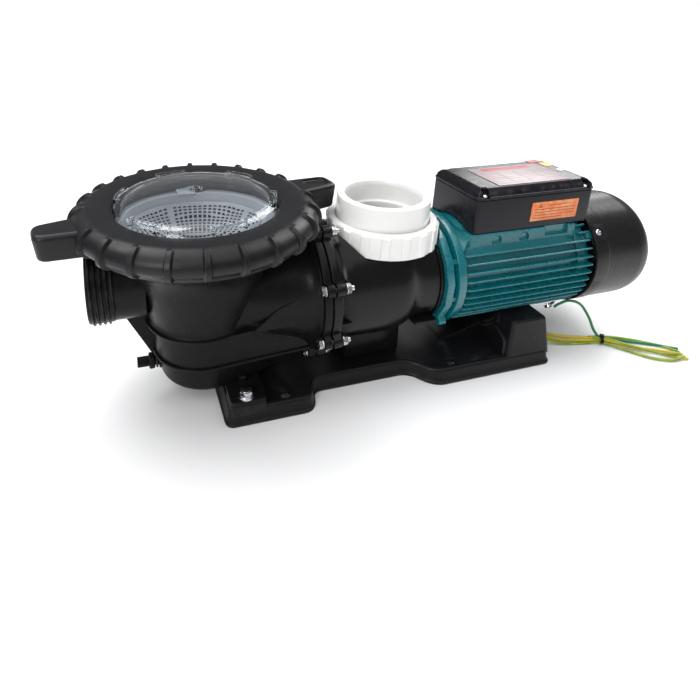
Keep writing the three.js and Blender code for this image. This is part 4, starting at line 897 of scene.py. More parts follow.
def nut_mod(r, h, t, j):
    if r < 63:
        return r, h
    d = abs((math.degrees(t) / 20 - 0.35 + 0.5) % 1 - 0.5) * 20
    k = 1.0 if d < 4.0 else max(0.0, 1 - (d - 4.0) / 0.9)
    k = k * k * (3 - 2 * k)
    w = max(0.0, min(1.0, (198.4 - h) / 1.4)) * max(0.0, min(1.0, (h - 169.6) / 0.9))
    return r + 1.7 * k * w, h


nut_profile = rp(
    [(61.9, 169.3, 0.5), (65.7, 169.3, 0.7), (65.9, 170.8), (65.9, 172), (65.9, 180), (65.9, 190), (65.9, 196.6), (65.7, 197.6), (65.0, 198.9, 0.6), (63.2, 199.4, 0.8), (57.2, 199.4, 0.8), (57.2, 194.5, 0.3),
     (61.9, 194.5, 0.3), (61.9, 188), (61.9, 176)], 4,
)
piece("union_collar_nut", lathe(nut_profile, axis="Z", angles=nut_angles, mod=nut_mod), M["white"], "union_nut", "union_nut", 34)
piece(
    "union_socket",
    lathe(rp([(41, 189, 0.6), (61, 189, 0.6), (61, 194, 0.8), (56.4, 194, 0.8), (55.8, 196, 0.5), (55.8, 216), (55.8, 227, 1.6), (46.6, 227, 1.2), (45, 222, 2), (45, 200, 1.2), (41, 200, 1.2), (41, 196)], 4), 160),
    M["white"], "union_tail", "union_tailpiece", 34,
)
piece("union_seal", torus(52.1, 1.5, (0, 0, 186.6)), M["rubber"], "pump_body", "union_oring")

# ---------------------------------------------------------------- hydraulics and seal
notches = [raw_box(-34, 12, -6, 6, AZ + 34, AZ + 50).turned("X", 60 * i + 30, (0, 0, AZ)) for i in range(6)]
piece(
    "diffuser_cup",
    csg(lathe(rp([(20, -49.6, 0.8), (41, -49.6, 2), (41, 8, 0.6), (38.6, 8, 0.6), (38.6, -46.6, 1), (20, -46.6, 0.6)], 4), 120, "X", (0, 0, AZ)), cuts=notches),
    M["hydraulics"], "pump_body", "diffuser",
)
imp = Shape().add(
    lathe(rp([(9.6, -26, 0.3), (35, -26, 0.5), (35, -23, 0.5), (15, -22, 2), (13, 2.6, 0.6), (9.6, 2.6, 0.3)], 3), 96, "X"),
    lathe(rp([(15.5, -45.5, 0.4), (18.5, -45.5, 0.6), (19, -42.5, 1), (35, -38.5, 0.4), (35, -36.5, 0.4), (19, -39.5, 1), (15.5, -42, 0.4)], 3), 96, "X"),
    lathe(rp([(9.6, -36.5, 0.3), (13, -36.5, 0.8), (13, -24), (9.6, -24)], 3), 64, "X"),
)
for i in range(6):
    line = []
    for k in range(9):
        u = k / 8
        r = 17 + 17.6 * u
        a = -0.9 * u
        line.append((r * sin(a), r * cos(a)))
    outline = []
    for k, (y, z) in enumerate(line):
        nx, nz = (line[min(k + 1, 8)][1] - line[max(k - 1, 0)][1]), -(line[min(k + 1, 8)][0] - line[max(k - 1, 0)][0])
        q = math.hypot(nx, nz)
        outline.append((y + nx / q, z + nz / q))
    for k in range(8, -1, -1):
        y, z = line[k]
        nx, nz = (line[min(k + 1, 8)][1] - line[max(k - 1, 0)][1]), -(line[min(k + 1, 8)][0] - line[max(k - 1, 0)][0])
        q = math.hypot(nx, nz)
        outline.append((y - nx / q, z - nz / q))
    imp.add(slab(outline, -38.6, -25, 0, 0, plane="YZ").turned("X", 60 * i))
for i in range(3):
    imp.add(raw_box(-30, -24, -1.1, 1.1, 11, 26).turned("X", 120 * i + 10))
piece("impeller_wheel", imp.moved(0, 0, AZ), M["hydraulics"], "rotor", "impeller")
piece("impeller_cap_screw", lathe(rp([(0, -42.4), (6.5, -42.4, 1.5), (11.5, -40, 0.8), (11.5, -37, 0.4), (0, -37)], 3), 48, "X", (0, 0, AZ)), M["chrome"], "rotor", "impeller_screw")
piece("seal_spring_head", lathe(rp([(9.8, 3.4), (14.5, 3.4, 0.6), (16.5, 7, 1), (16.5, 16, 1), (15, 21, 0.6), (14.4, 23.6, 0.4), (9.8, 23.6)], 4), 72, "X", (0, 0, AZ)), M["rubber"], "rotor", "seal_head")
piece("seal_ceramic", lathe(rp([(10.6, 24, 0.3), (18, 24, 0.5), (18, 32, 0.3), (10.6, 32, 0.3)], 2), 72, "X", (0, 0, AZ)), M["ceramic"], "pump_body", "seal_seat")
piece(
    "seal_plate_disc",
    csg(
        lathe(rp([(18.5, 20, 0.4), (26, 20, 0.8), (26, 30, 1.5), (41, 30, 0.8), (41, 50.3), (66, 50.3, 0.3), (66, 54.7, 0.3), (36, 54.7), (36, 37, 1.5), (12, 37, 0.5), (12, 32.4), (18.5, 32.4)], 3), 128, "X", (0, 0, AZ)),
        cuts=[rod(69.8, 167.8, 230, "Z", n=96)],
    ),
    M["gloss"], "pump_body", "seal_plate",
)

# ---------------------------------------------------------------- base
base_plan = rp(
    [(-215.2, -85.7, 11), (-110, -85.7, 13), (-101, -57, 9), (24, -57, 13), (46, -85.7, 15), (217.7, -85.7, 11),
     (217.7, 85.7, 11), (46, 85.7, 15), (24, 57, 13), (-101, 57, 9), (-110, 85.7, 13), (-215.2, 85.7, 11)], 7,
)
base_steps = [(0.8, 0.0), (0.2, 0.4), (0.0, 1.1), (0.0, 3.0), (0.5, 3.8), (1.5, 4.3), (2.2, 5.4), (4.0, 13.8), (4.4, 15.8), (5.2, 17.4), (6.4, 18.4), (7.8, 18.7), (9.0, 18.55), (9.9, 18.1), (10.8, 17.75)]
plate = loft([[(x, y, z) for x, y in inset(base_plan, d)] for d, z in base_steps])
plate_flat = slab(inset(base_plan, 9.5), 15.2, 17.9, 0, 0)
pads = [slab(rect(-210, -166, *sorted((m * 51, m * 82.5)), 5, 5), 12, 24.7, 1.6, 0, 5, draft=1.6) for m in (-1, 1)]


def post_shift(m):
    def f(a, b, t):
        return (a - (a - 180) * 0.35 * t if a > 180 else a + ((152 - a) * 0.2 + 4) * t * 0.9, b - m * 3 * t if abs(b) > 66 else b)

    return f


posts = [slab(rp([(150, m * 46, 0.5), (217, m * 46, 0.5), (217, m * 80.5, 6), (150, m * 80.5, 6)] if m < 0 else [(150, 46, 0.5), (150, 80.5, 6), (217, 80.5, 6), (217, 46, 0.5)], 5), 14, 67, 2.6, 0, 6, shift=post_shift(m)) for m in (-1, 1)]
web = slab(rp([(-52, 14), (52, 14), (54, 60), (49, 63, 3), (40, 46, 8), (27, 36, 7), (-27, 36, 7), (-40, 46, 8), (-49, 63, 3), (-54, 60)], 5), 152, 208, 1.2, 1.2, plane="YZ")
wall = slab(rp([(-76, 14), (76, 14), (74, 40, 3), (50, 52, 6), (36, 36, 8), (-36, 36, 8), (-50, 52, 6), (-74, 40, 3)], 5), 147, 155, 1.0, 1.4, plane="YZ")
ribs = [slab(rp([(80, 14), (150, 14), (150, 36, 3), (128, 27, 12)], 5), y - 1.8, y + 1.8, 0.7, 0.7, plane="XZ") for y in (-24, 24)]
pockets = []
for s in (1, -1):
    for a, b, far in ((-210, -162, 76), (-158, -115, 76), (-98, -52, 50), (-48, -3, 50), (3, 22, 50), (56, 100, 76), (104, 146, 76), (150, 212, 76)):
        y0, y1 = sorted((s * 3, s * far))
        pockets.append(raw_box(a, b, y0, y1, -2, 14.2))
hollows = [raw_box(158, 206, *sorted((m * 8, m * 42)), -2, 29) for m in (-1, 1)] + [raw_box(158, 204, *sorted((m * 55, m * 73)), -2, 58) for m in (-1, 1)]
slots = [slab(rect(x0, x0 + 12, m * 69 - 5, m * 69 + 5, 3, 4), -2, 26, 0, 0) for m in (-1, 1) for x0 in (71, -148)]
sinks = [slab(rect(x0 - 2.5, x0 + 14.5, m * 69 - 7.5, m * 69 + 7.5, 5, 5), 17.2, 26, 0, 0.6) for m in (-1, 1) for x0 in (71,)]
bores = [rod(4.6, -2, 40, "Z", (-190, m * 73, 0), 32) for m in (-1, 1)] + [rod(4.2, 12, 64, "Z", (196, m * 18, 0), 32) for m in (-1, 1)]
lead_hole = rod(9, 195, 232, "X", (0, -30, 34), 40)
base = csg(plate, adds=[plate_flat] + pads + posts + [web, wall] + ribs, cuts=pockets + hollows + slots + sinks + bores + [lead_hole])
piece("base_moulding", base, M["base"], "pump_body", "base_plate", 30)

for side, m in (("front", -1), ("back", 1)):
    s = Shape()
    s.add(rod(9.2, 30.3, 31.5, "Z", n=48, edge=0.3))
    s.add(lathe(rp([(4.4, 31.4, 0.2), (7.2, 31.4, 0.3), (7.2, 33.0, 0.3), (4.4, 33.0, 0.2)], 2), 48))
    s.add(hexagon(13, 32.9, 38.6, 1.0))
    s.add(rod(5.2, 38.5, 39.1, "Z", n=36, edge=0.5))
    s.add(rod(3.9, 6, 32, "Z", n=32, edge=0.6))
    piece(f"foot_screw_{side}", s.turned("Z", 14 * m).moved(-190, m * 73), M["chrome"], "pump_body", f"foot_bolt_{side}")
    s = Shape().add(rod(3.7, 24, 53, "Z", n=32, edge=0.6), hexagon(10, 36.3, 41.7), rod(8, 41.5, 43, "Z", n=36, edge=0.3))
    piece(f"saddle_screw_{side}", s.moved(196, m * 18), M["chrome"], "pump_body", f"saddle_bolt_{side}")

# ---------------------------------------------------------------- motor
def around(deg, shape):
    return shape.turned("X", deg, (0, 0, AZ))


nut_hollow = rod(69.8, 168.1, 240, "Z", n=128)
shield = lathe(
    rp([(11, 55, 0.4), (60, 55, 0.6), (60, 64.5, 1.5), (61.5, 69, 1.2), (73.2, 70.4, 1.2), (73.2, 80.2, 0.8), (59.8, 80.2), (59.8, 85, 0.5), (55, 85, 0.5), (55, 74, 1), (30, 74, 1), (30, 79, 0.5), (24, 79), (24, 64.6), (11, 64.6)], 4),
    160, "X", (0, 0, AZ),
)
flats = slab([(73 * sin(math.radians(8.6 + 22.5 * k)), AZ + 73 * cos(math.radians(8.6 + 22.5 * k))) for k in range(16)], 55, 64.5, 1.2, 0.8, 4, plane="YZ")
corner_lugs = [
    around(m * 127, slab(rp([(-9, AZ + 58), (9, AZ + 58), (4.5, AZ + 80, 4), (-4.5, AZ + 80, 4)], 4), 55, 64.5, 1.2, 0.8, plane="YZ")) for m in (-1, 1)
]
flat_hole = rod(50, 50, 68, "X", (0, 0, AZ), 96)
struts = [around(a, slab(rp([(-3, AZ + 52), (3, AZ + 52), (3, AZ + 70, 1), (-3, AZ + 70, 1)], 2), 63, 72, 0.5, 0.5, plane="YZ")) for a in (60, 100, 140, 220, 260, 300)]
me = csg(shield, adds=[flats] + corner_lugs + struts, cuts=[nut_hollow])
piece("motor_drive_shield", me, M["teal"], "pump_body", "drive_end_shield", 28)
for m in (-1, 1):  # cast bosses on the shield's ring
    s = Shape().add(rod(5.0, -4, 2.2, "Z", n=32, edge=1.2))
    piece(f"shield_boss_{'front' if m < 0 else 'back'}", around(-m * 62, s.moved(77.5, 0, AZ + 70.5)), M["teal"], "pump_body", "drive_end_shield")

body = Shape().add(
    lathe(rp([(60.3, 80.6, 0.3), (64.5, 80.6, 0.6), (64.5, 238, 0.5), (62.2, 239.5, 0.5), (62.2, 252, 0.6), (60.3, 252, 0.3)], 3), 160, "X", (0, 0, AZ)),
)
for side in (1, -1):
    for k_ in range(14):
        a = 57 + 8.5 * k_
        loops = []
        for x, top, k in ((81.0, 66.5, 0.75), (82.4, 69.4, 0.9), (84.6, 71.6, 1), (88, 72.5, 1), (150, 72.5, 1), (262, 72.5, 1), (266.4, 71.9, 1), (268, 69.8, 0.8)):
            prof = [(-1.6 * k, 62.6), (-1.15 * k, top - 1.3), (-0.95 * k, top - 0.45), (-0.4 * k, top), (0.4 * k, top), (0.95 * k, top - 0.45), (1.15 * k, top - 1.3), (1.6 * k, 62.6)]
            loops.append([(x, y, AZ + z) for y, z in prof])
        body.add(around(side * a, loft(loops)))
body.add(lathe(rp([(62.5, 250, 0.3), (64.5, 250, 0.3), (64.5, 265.4, 0.6), (62.5, 265.4, 0.6)], 3), 160, "X", (0, 0, AZ)))
for side in (1, -1):
    for a in (48.5, 40.0):
        body.add(around(side * a, slab(rp([(-1.5, AZ + 62.8), (1.5, AZ + 62.8), (1.0, AZ + 71.6, 0.9), (-1.0, AZ + 71.6, 0.9)], 3), 253, 267, 0.6, 0.6, plane="YZ")))
piece("motor_body_finned", body, M["teal"], "pump_body", "motor_frame", 28)

box_bottom = 179.0
bored = rod(61.4, 60, 300, "X", (0, 0, AZ), 128)
seat = csg(
    slab(rp([(-50.5, 148, 2), (50.5, 148, 2), (46.4, 178.7, 1.2), (-46.4, 178.7, 1.2)], 4), 96, 252, 1.2, 1.2, plane="YZ"),
    adds=[
        slab(rp([(-41.3, 172), (41.3, 172), (41.3, 186.0), (-41.3, 186.0)]), 104.7, 252, 0, 0, plane="YZ"),
        # the cowl that runs from the seat down to the shield's ring
        loft([
            [(x, y, z) for y, z in rp([(-w, AZ + 26, 1), (w, AZ + 26, 1), (w, AZ + h0, 2), (w * 0.55, AZ + h1, 6), (0, AZ + h2, 4), (-w * 0.55, AZ + h1, 6), (-w, AZ + h0, 2)], 4)]
            for x, w, h0, h1, h2 in ((80.8, 56, 45, 61, 72.3), (84, 54.5, 48, 61.5, 71.6), (92, 48, 53.5, 60.4, 65.5), (98, 46, 56, 58.0, 58.3))
        ]),
    ],
    cuts=[bored, rod(9, 160, 210, "Z", (232, 0, 0), 48)]
    + [slab(rect(205, 240, 167.2, 184.0, 1.2, 3), *sorted((m * 43.6, m * 54)), 0, 0, plane="XZ") for m in (-1, 1)]
    + [rod(7.2, *sorted((m * 45.0, m * 56)), "Y", (x, 0, 169.0), 40) for m in (-1, 1) for x in (134, 174)],
)
piece("motor_box_seat", seat, M["teal"], "pump_body", "motor_frame", 28)
for side, m in (("front", -1), ("back", 1)):
    for k, x in enumerate((134, 174)):
        knock = rod(5.0, *sorted((m * 44.0, m * 46.9)), "Y", (x - 1.8, 0, 170.2), 36, 0.5)
        piece(f"seat_knockout_{side}_{k + 1}", knock, M["teal"], "pump_body", "motor_frame")
saddle = csg(
    slab(rect(184, 208, -30, 30, 3), 43.3, 68, 0, 1.2, draft=-2),
    cuts=[bored, rod(4.2, 30, 54, "Z", (196, -18, 0), 32), rod(4.2, 30, 54, "Z", (196, 18, 0), 32), raw_box(180, 212, -8, 8, 40, 54)],
)
piece("motor_saddle_boss", saddle, M["teal"], "pump_body", "motor_frame", 28)

rear = Shape().add(
    lathe(rp([(9.6, 262, 0.4), (9.6, 258.8), (20.4, 258.8), (20.4, 246, 0.4), (26, 246, 0.5), (26, 252.3, 0.5), (54, 252.3), (54, 247.5, 0.4), (59.2, 247.5, 0.4), (59.2, 252.3), (61.6, 252.3, 0.4), (61.6, 258, 1.2), (30, 258, 0.8), (28, 262, 0.8)], 3), 128, "X", (0, 0, AZ)),
)
for a in (51, 129, 231, 309):
    lug = slab(rp([(-6, AZ + 58.5, 1), (6, AZ + 58.5, 1), (5.4, AZ + 69, 1.5), (-5.4, AZ + 69, 1.5)], 3), 266, 283, 0.8, 0.8, plane="YZ")
    stem = slab(rp([(-6, AZ + 56, 0.5), (6, AZ + 56, 0.5), (6, AZ + 61.6, 0.5), (-6, AZ + 61.6, 0.5)], 2), 254, 270, 0.5, 0.5, plane="YZ")
    rear.add(around(a, lug), around(a, stem))
piece("motor_rear_shield", rear, M["teal"], "pump_body", "rear_end_shield", 30)

cover_profile = rp(
    [(74, 270.7, 0.5), (74, 290.4, 0.5), (73.2, 291.4, 0.4), (73.2, 344, 3), (71.4, 355.5, 5), (66.2, 363.8, 4), (58.6, 369.2, 4), (48, 371.6, 4), (30, 372), (0, 372), (0, 369.4), (40, 369.4), (48, 369.0, 3), (57.4, 366.8, 3),
     (64.4, 361.6, 4), (68.8, 354.4, 4), (70.6, 344, 2), (70.6, 270.7, 0.4)], 5,
)
cuts = [around(36 * i, slab(rect(-2.2, 2.2, AZ + 15, AZ + 46, 2.1, 4), 360, 380, 0, 0, plane="YZ")) for i in range(10)]
cuts += [around(36 * i + 18, slab(rect(-2.0, 2.0, AZ + 30, AZ + 46, 1.9, 4), 360, 380, 0, 0, plane="YZ")) for i in range(10)]
cuts += [around(a, rod(2.3, AZ + 62, AZ + 90, "Z", (278, 0, 0), 24)) for a in (51, 129, 231, 309)]
pads_ = []
for a in (51, 309):
    loops = []
    for x, r in ((271.0, 73.4), (271.2, 74.9), (289.2, 74.9), (290.2, 73.4)):
        loops.append([(x, rr * sin(math.radians(q)), AZ + rr * cos(math.radians(q))) for q, rr in [(a - 8 + 16 * k / 12, r) for k in range(13)] + [(a + 8 - 16 * k / 12, 71.5) for k in range(13)]])
    pads_.append(loft(loops))
cuts += [around(a, rod(5.2, AZ + 74.2, AZ + 90, "Z", (278, 0, 0), 36)) for a in (51, 309)]
piece("fan_cover_cup", csg(lathe(cover_profile, 176, "X", (0, 0, AZ)), adds=pads_, cuts=cuts), M["cover"], "pump_body", "fan_cover", 30)


def cross_head(r, h, dome=0.7):
    """A round head seated at z 0 with a cross recess."""
    head = lathe(rp([(0, 0), (r, 0, 0.2), (r, h - dome, 0.5), (r * 0.55, h, 0.6), (0, h)], 4), 48)
    arms = [slab(rp([(-r * 0.62, -0.42, 0.2), (r * 0.62, -0.42, 0.2), (r * 0.62, 0.42, 0.2), (-r * 0.62, 0.42, 0.2)], 2), h - 1.1, h + 1, 0, 0).turned("Z", a) for a in (20, 110)]
    return shape_of(csg(head, cuts=arms))


for side, a in (("front", 51), ("back", 309)):
    s = Shape().add(cross_head(3.8, 2.3).moved(0, 0, 74.2), rod(1.55, 64, 74.6, "Z", n=20, edge=0.3))
    piece(f"cover_screw_{side}", around(a, s.moved(278, 0, AZ)), M["chrome"], "pump_body", f"fan_cover_screw_{side}")

s = Shape().add(rod(4.6, -3.4, 0, "Z", n=36, edge=0.8), rod(5.6, -0.3, 0.6, "Z", n=36, edge=0.2), rod(2, -1, 3.2, "Z", n=20))
piece("earth_terminal_screw", s.turned("X", -38).moved(236, -46.2, AZ - 61.2), M["chrome"], "pump_body", "earth_screw")

piece("shaft", lathe(rp([(0, -34.6), (9, -34.6, 1), (9, 58, 0.4), (10, 59, 0.4), (10, 221, 0.4), (8.5, 222, 0.4), (8.5, 310, 1), (0, 310)], 3), 64, "X", (0, 0, AZ)), M["steel"], "rotor", "motor_shaft")
piece("rotor_stack", lathe(rp([(10.4, 100, 0.3), (33.3, 100, 0.6), (33.3, 220, 0.6), (10.4, 220, 0.3)], 2), 96, "X", (0, 0, AZ)), M["lamination"], "rotor", "rotor_core")
piece("stator_stack", lathe(rp([(34.8, 100, 0.3), (59.6, 100, 0.6), (59.6, 220, 0.6), (34.8, 220, 0.3)], 2), 96, "X", (0, 0, AZ)), M["lamination"], "pump_body", "stator_core")
for name, x0, x1, node in (("drive", 87.2, 99.6, "winding_drive_end"), ("fan", 220.4, 238.6, "winding_fan_end")):
    loops = Shape()
    xm = (x0 + x1) / 2
    loops.add(lathe(rp([(37, x0, 3), (54, x0, 3), (54, x1, 2), (37, x1, 2)], 4), 120, "X", (0, 0, AZ), mod=lambda r, h, t, j: (r + 0.7 * sin(24 * t), h)))
    piece(f"winding_{name}", loops, M["copper"], "pump_body", node)
piece("bearing_front", lathe(rp([(10.2, 65, 0.4), (23.6, 65, 0.6), (23.6, 78.8, 0.6), (10.2, 78.8, 0.4)], 3), 72, "X", (0, 0, AZ)), M["steel"], "pump_body", "bearing_drive_end")
piece("bearing_rear", lathe(rp([(8.8, 246.4, 0.4), (20.1, 246.4, 0.6), (20.1, 258.4, 0.6), (8.8, 258.4, 0.4)], 3), 72, "X", (0, 0, AZ)), M["steel"], "pump_body", "bearing_fan_end")
fan = Shape().add(lathe(rp([(8.8, 284, 0.3), (57, 284, 0.8), (57, 287.5, 0.8), (16, 288.5, 2), (14, 306, 0.8), (8.8, 306, 0.3)], 3), 96, "X"))
for i in range(6):
    fan.add(slab(rp([(-1.4, 12), (1.4, 12), (1.2, 57, 1), (-1.2, 57, 1)], 3), 286, 308, 1.2, 0, plane="YZ").turned("X", 60 * i))
piece("fan_wheel", fan.moved(0, 0, AZ), M["cover"], "rotor", "cooling_fan")

# ---------------------------------------------------------------- terminal box
BX0, BX1, BY, BZ0, BZ1 = 100.7, 270.0, 45.1, 179.0, 222.2
CX = (BX0 + BX1) / 2
CORNERS = [(BX0 + 11, -BY + 5.6), (BX1 - 11, -BY + 5.6), (BX1 - 11, BY - 5.6), (BX0 + 11, BY - 5.6)]
shell = slab(rect(BX0, BX1, -BY, BY, 4.5, 6), BZ0, BZ1, 0.5, 1.6, 5)
hollow = slab(rect(BX0 + 3, BX1 - 3, -BY + 3, BY - 3, 3, 4), BZ0 + 10.5, BZ1 + 6, 0, 1)
skirt = raw_box(BX0 + 3, BX1 - 3, -BY + 3, BY - 3, BZ0 - 1, BZ0 + 7.5)
saddle_cut = rod(66.2, BX0 - 10, BX1 + 10, "X", (0, 0, AZ), 128)
me = csg(
    shape_of(csg(shell, cuts=[hollow, skirt])),
    adds=[raw_box(x - 5, x + 5, y - 5, y + 5, BZ0 + 9, BZ1 - 0.2) for x, y in CORNERS],
    cuts=[saddle_cut] + [rod(1.9, BZ1 - 14, BZ1 + 5, "Z", (x, y, 0), 20) for x, y in CORNERS]
    + [rod(9, BZ0 - 2, BZ0 + 14, "Z", (232, 0, 0), 40), rod(8.4, BY - 6, BY + 4, "Y", (CX + 60, 0, BZ0 + 27), 40)],
)
piece("box_shell", me, M["box"], "pump_body", "terminal_box", 30)

LZ = 223.4
lid_steps = [(0.5, LZ), (0.0, LZ + 0.5), (0.0, LZ + 2.5), (0.35, LZ + 3.1), (1.1, LZ + 3.5), (1.4, LZ + 4.2), (1.9, LZ + 6.6), (2.3, LZ + 7.3), (3.2, LZ + 8.3), (7.2, LZ + 12.2), (8.0, LZ + 12.75), (9.3, LZ + 13.1)]
lid_plan = rect(BX0 - 0.8, BX1 + 0.8, -BY - 0.8, BY + 0.8, 5.5, 7)
lid_solid = loft([[(x, y, z) for x, y in inset(lid_plan, d)] for d, z in lid_steps])
lid_hollow = slab(rect(BX0 + 5, BX1 - 5, -BY + 5.5, BY - 5.5, 3, 3), LZ - 2, LZ + 10.2, 5.0, 0)
me = csg(
    shape_of(csg(lid_solid, cuts=[lid_hollow])),
    adds=[raw_box(x - 6.5, x + 6.5, y - (4 if y < 0 else 6.5), y + (6.5 if y < 0 else 4), LZ + 0.3, LZ + 6.0) for x, y in CORNERS],
    cuts=[rod(4.8, LZ + 2.2, LZ + 20, "Z", (x, y, 0), 48) for x, y in CORNERS] + [rod(2.1, LZ - 2, LZ + 5, "Z", (x, y, 0), 24) for x, y in CORNERS]
    + [raw_box(x - 4.8, x + 4.8, *sorted((y, y + (-9 if y < 0 else 9))), LZ + 2.2, LZ + 20) for x, y in CORNERS],
)
piece("box_cover", me, M["box"], "pump_body", "terminal_box_lid", 28)
piece(
    "box_gasket",
    loft([[(x, y, z) for x, y in rect(BX0 + d, BX1 - d, -BY + d, BY - d, 4, 4)] for d, z in ((0.6, 222.4), (0.4, 222.8), (0.6, 223.2), (2.6, 223.2), (2.6, 222.4))], closed=True),
    M["rubber"], "pump_body", "terminal_box_gasket",
)
for i, (x, y) in enumerate(CORNERS):
    s = Shape().add(cross_head(4.3, 2.9).moved(0, 0, LZ + 2.4), rod(1.6, BZ1 - 10, LZ + 2.8, "Z", n=20))
    piece(f"lid_corner_screw_{i + 1}", s.moved(x, y), M["chrome"], "pump_body", f"box_lid_screw_{i + 1}")

top = 236.5
piece("plate_blank", slab(rect(134.4, 240.4, -36.5, 26, 1.0, 3), top + 0.1, top + 0.7, 0.15, 0.1, 2), M["pale"], "pump_body", "rating_plate")
rule = Shape()
for y in (-31, -25, -18, -12, -6, 0, 6):
    rule.add(block(139, 236, y - 0.35, y + 0.35, top + 0.6, top + 0.78, 0.1, 0.05))
for x in (139, 163, 188, 212, 236):
    rule.add(block(x - 0.35, x + 0.35, -30, 6, top + 0.6, top + 0.80, 0.1, 0.05))
piece("plate_rules", rule, M["pale_line"], "pump_body", "rating_plate")
piece("plate_band", block(150, 224, 12, 21, top + 0.6, top + 0.8, 2, 0.06), M["red"], "pump_body", "rating_plate")
piece("sticker_red", slab(rect(236, 256, 29.5, 39.5, 1, 3), top + 0.1, top + 0.5, 0.1, 0.1, 2), M["red"], "pump_body", "rating_plate")
piece("sticker_amber", slab(rect(248, 262, 13, 27, 1, 3), top + 0.1, top + 0.5, 0.1, 0.1, 2), M["amber"], "pump_body", "rating_plate")
piece("sticker_pale", slab(rp([(255 + 4.5 * cos(TAU * k / 28), -4 + 4.5 * sin(TAU * k / 28)) for k in range(28)]), top + 0.1, top + 0.5, 0.1, 0.1, 2), M["can"], "pump_body", "rating_plate")
piece("label_orange", slab(rect(179.6, 249.2, 188.4, 213.2, 0.8, 3), -BY - 0.7, -BY - 0.1, 0.1, 0.1, 2, plane="XZ"), M["orange"], "pump_body", "side_label")
lines = Shape()
for z, a, b in ((208.3, 204, 238), (203.4, 184, 244.5), (199.6, 184, 244.5), (195.8, 184, 244.5), (192, 184, 226)):
    lines.add(slab(rect(a, b, z - 0.45, z + 0.45, 0.3, 2), -BY - 0.85, -BY - 0.6, 0.05, 0.05, 2, plane="XZ"))
lines.add(slab([(189, 206), (195.4, 206), (192.2, 211.4)], -BY - 0.85, -BY - 0.6, 0.05, 0.05, 2, plane="XZ"))
piece("label_rules", lines, M["deep_orange"], "pump_body", "side_label")

piece("capacitor_can", lathe(rp([(0, -60), (15, -60, 1.5), (15, 22, 1.5), (0, 22)], 4), 64, "X", (CX, 14, BZ0 + 26.4)), M["can"], "pump_body", "run_capacitor")
piece("connector_block", csg(block(CX - 60, CX - 14, -32, -12, BZ0 + 10.8, BZ0 + 27, 1.2, 1), cuts=[rod(2.6, BZ0 + 20, BZ0 + 30, "Z", (CX - 55 + 9 * k, -22, 0), 24) for k in range(5)]), M["white"], "pump_body", "terminal_block")
gland = csg(
    hexagon(21, 0, 7).turned("X", -90).moved(0, BY + 0.3, 0),
    adds=[rod(8, BY - 9, BY + 2, "Y", n=48), lathe(rp([(0, BY + 5), (9.8, BY + 5), (9.8, BY + 14, 3), (7.4, BY + 19, 1.2), (0, BY + 19)], 5), 64, "Y")],
    cuts=[rod(4.6, BY - 12, BY + 24, "Y", n=36)],
)
for v in gland.vertices:
    v.co.x += (CX + 60) * MM
    v.co.z += (BZ0 + 27) * MM
piece("gland_nut", gland, M["black"], "pump_body", "cable_gland", 30)

# ---------------------------------------------------------------- leads
piece(
    "lead_green",
    tube([(243, -50.0, 58.2), (252, -50.4, 62.5), (266, -51, 64.5), (284, -53, 57), (299, -57, 37), (308, -62, 17), (316, -69, 7.2), (334, -71, 3.8), (354, -79, 2.6), (380, -92, 2.4), (404, -108, 2.4)], 1.75, 14, 12),
    M["green"], "pump_body", "earth_lead_green",
)
piece("lead_lug", slab(rp([(-5, -5, 4.8), (5, -5, 4.8), (5, 5, 3), (12, 3, 1.5), (12, -3, 1.5), (5, -5, 1)], 4), 0, 1.0, 0.2, 0.2).turned("Y", -20).turned("X", -38).moved(236, -46.9, AZ - 62.4), M["chrome"], "pump_body", "earth_screw")
piece(
    "lead_yellow_a",
    tube([(207, -31, 33), (222, -36, 27), (240, -46, 11), (262, -52, 4.2), (290, -61, 3.2), (315, -69, 5.4), (338, -83, 2.8), (364, -102, 2.6), (388, -121, 2.4), (397, -127, 2.4)], 1.9, 14, 12),
    M["yellow"], "pump_body", "lead_yellow",
)
piece(
    "lead_yellow_b",
    tube([(207, -27, 35), (221, -31, 30), (238, -40, 15), (260, -45, 6.5), (290, -57, 6.2), (315, -70.5, 8.6), (340, -88, 5.2), (368, -104, 4.8), (388, -112, 2.6), (399, -118, 2.4)], 1.8, 14, 12),
    M["yellow"], "pump_body", "lead_yellow",
)
piece(
    "lead_striped",
    tube([(207, -34, 30), (223, -42, 22), (243, -54, 8), (264, -60, 2.6), (292, -66, 2.4), (315, -72, 3.2), (334, -92, 2.4), (352, -113, 2.4), (374, -124, 2.6), (394, -124, 4.4)], 1.75, 14, 12),
    M["lime"], "pump_body", "lead_yellow",
)
piece(
    "lead_loop",
    tube([(300, -62, 8.0), (315, -67, 9.4), (338, -70, 6.0), (366, -80, 2.6), (388, -97, 2.4), (398, -112, 2.6), (388, -119, 5.6), (366, -112, 6.4), (342, -92, 7.4), (322, -75, 9.2), (304, -66, 8.2)], 1.55, 12, 12),
    M["lime"], "pump_body", "earth_lead_green",
)
tie = lathe(rp([(5.2, -2.0, 0.5), (6.4, -2.0, 0.5), (6.4, 2.0, 0.5), (5.2, 2.0, 0.5)], 3), 40, "X").add(block(-2.4, 2.4, -2.6, 2.6, 5.6, 9.6, 0.8, 0.6))
tie.v = [(a, b * 1.0, c * 0.82) for a, b, c in tie.v]
piece("lead_tie", tie.turned("Z", -34).moved(315, -69.6, 6.2), M["black"], "pump_body", None)

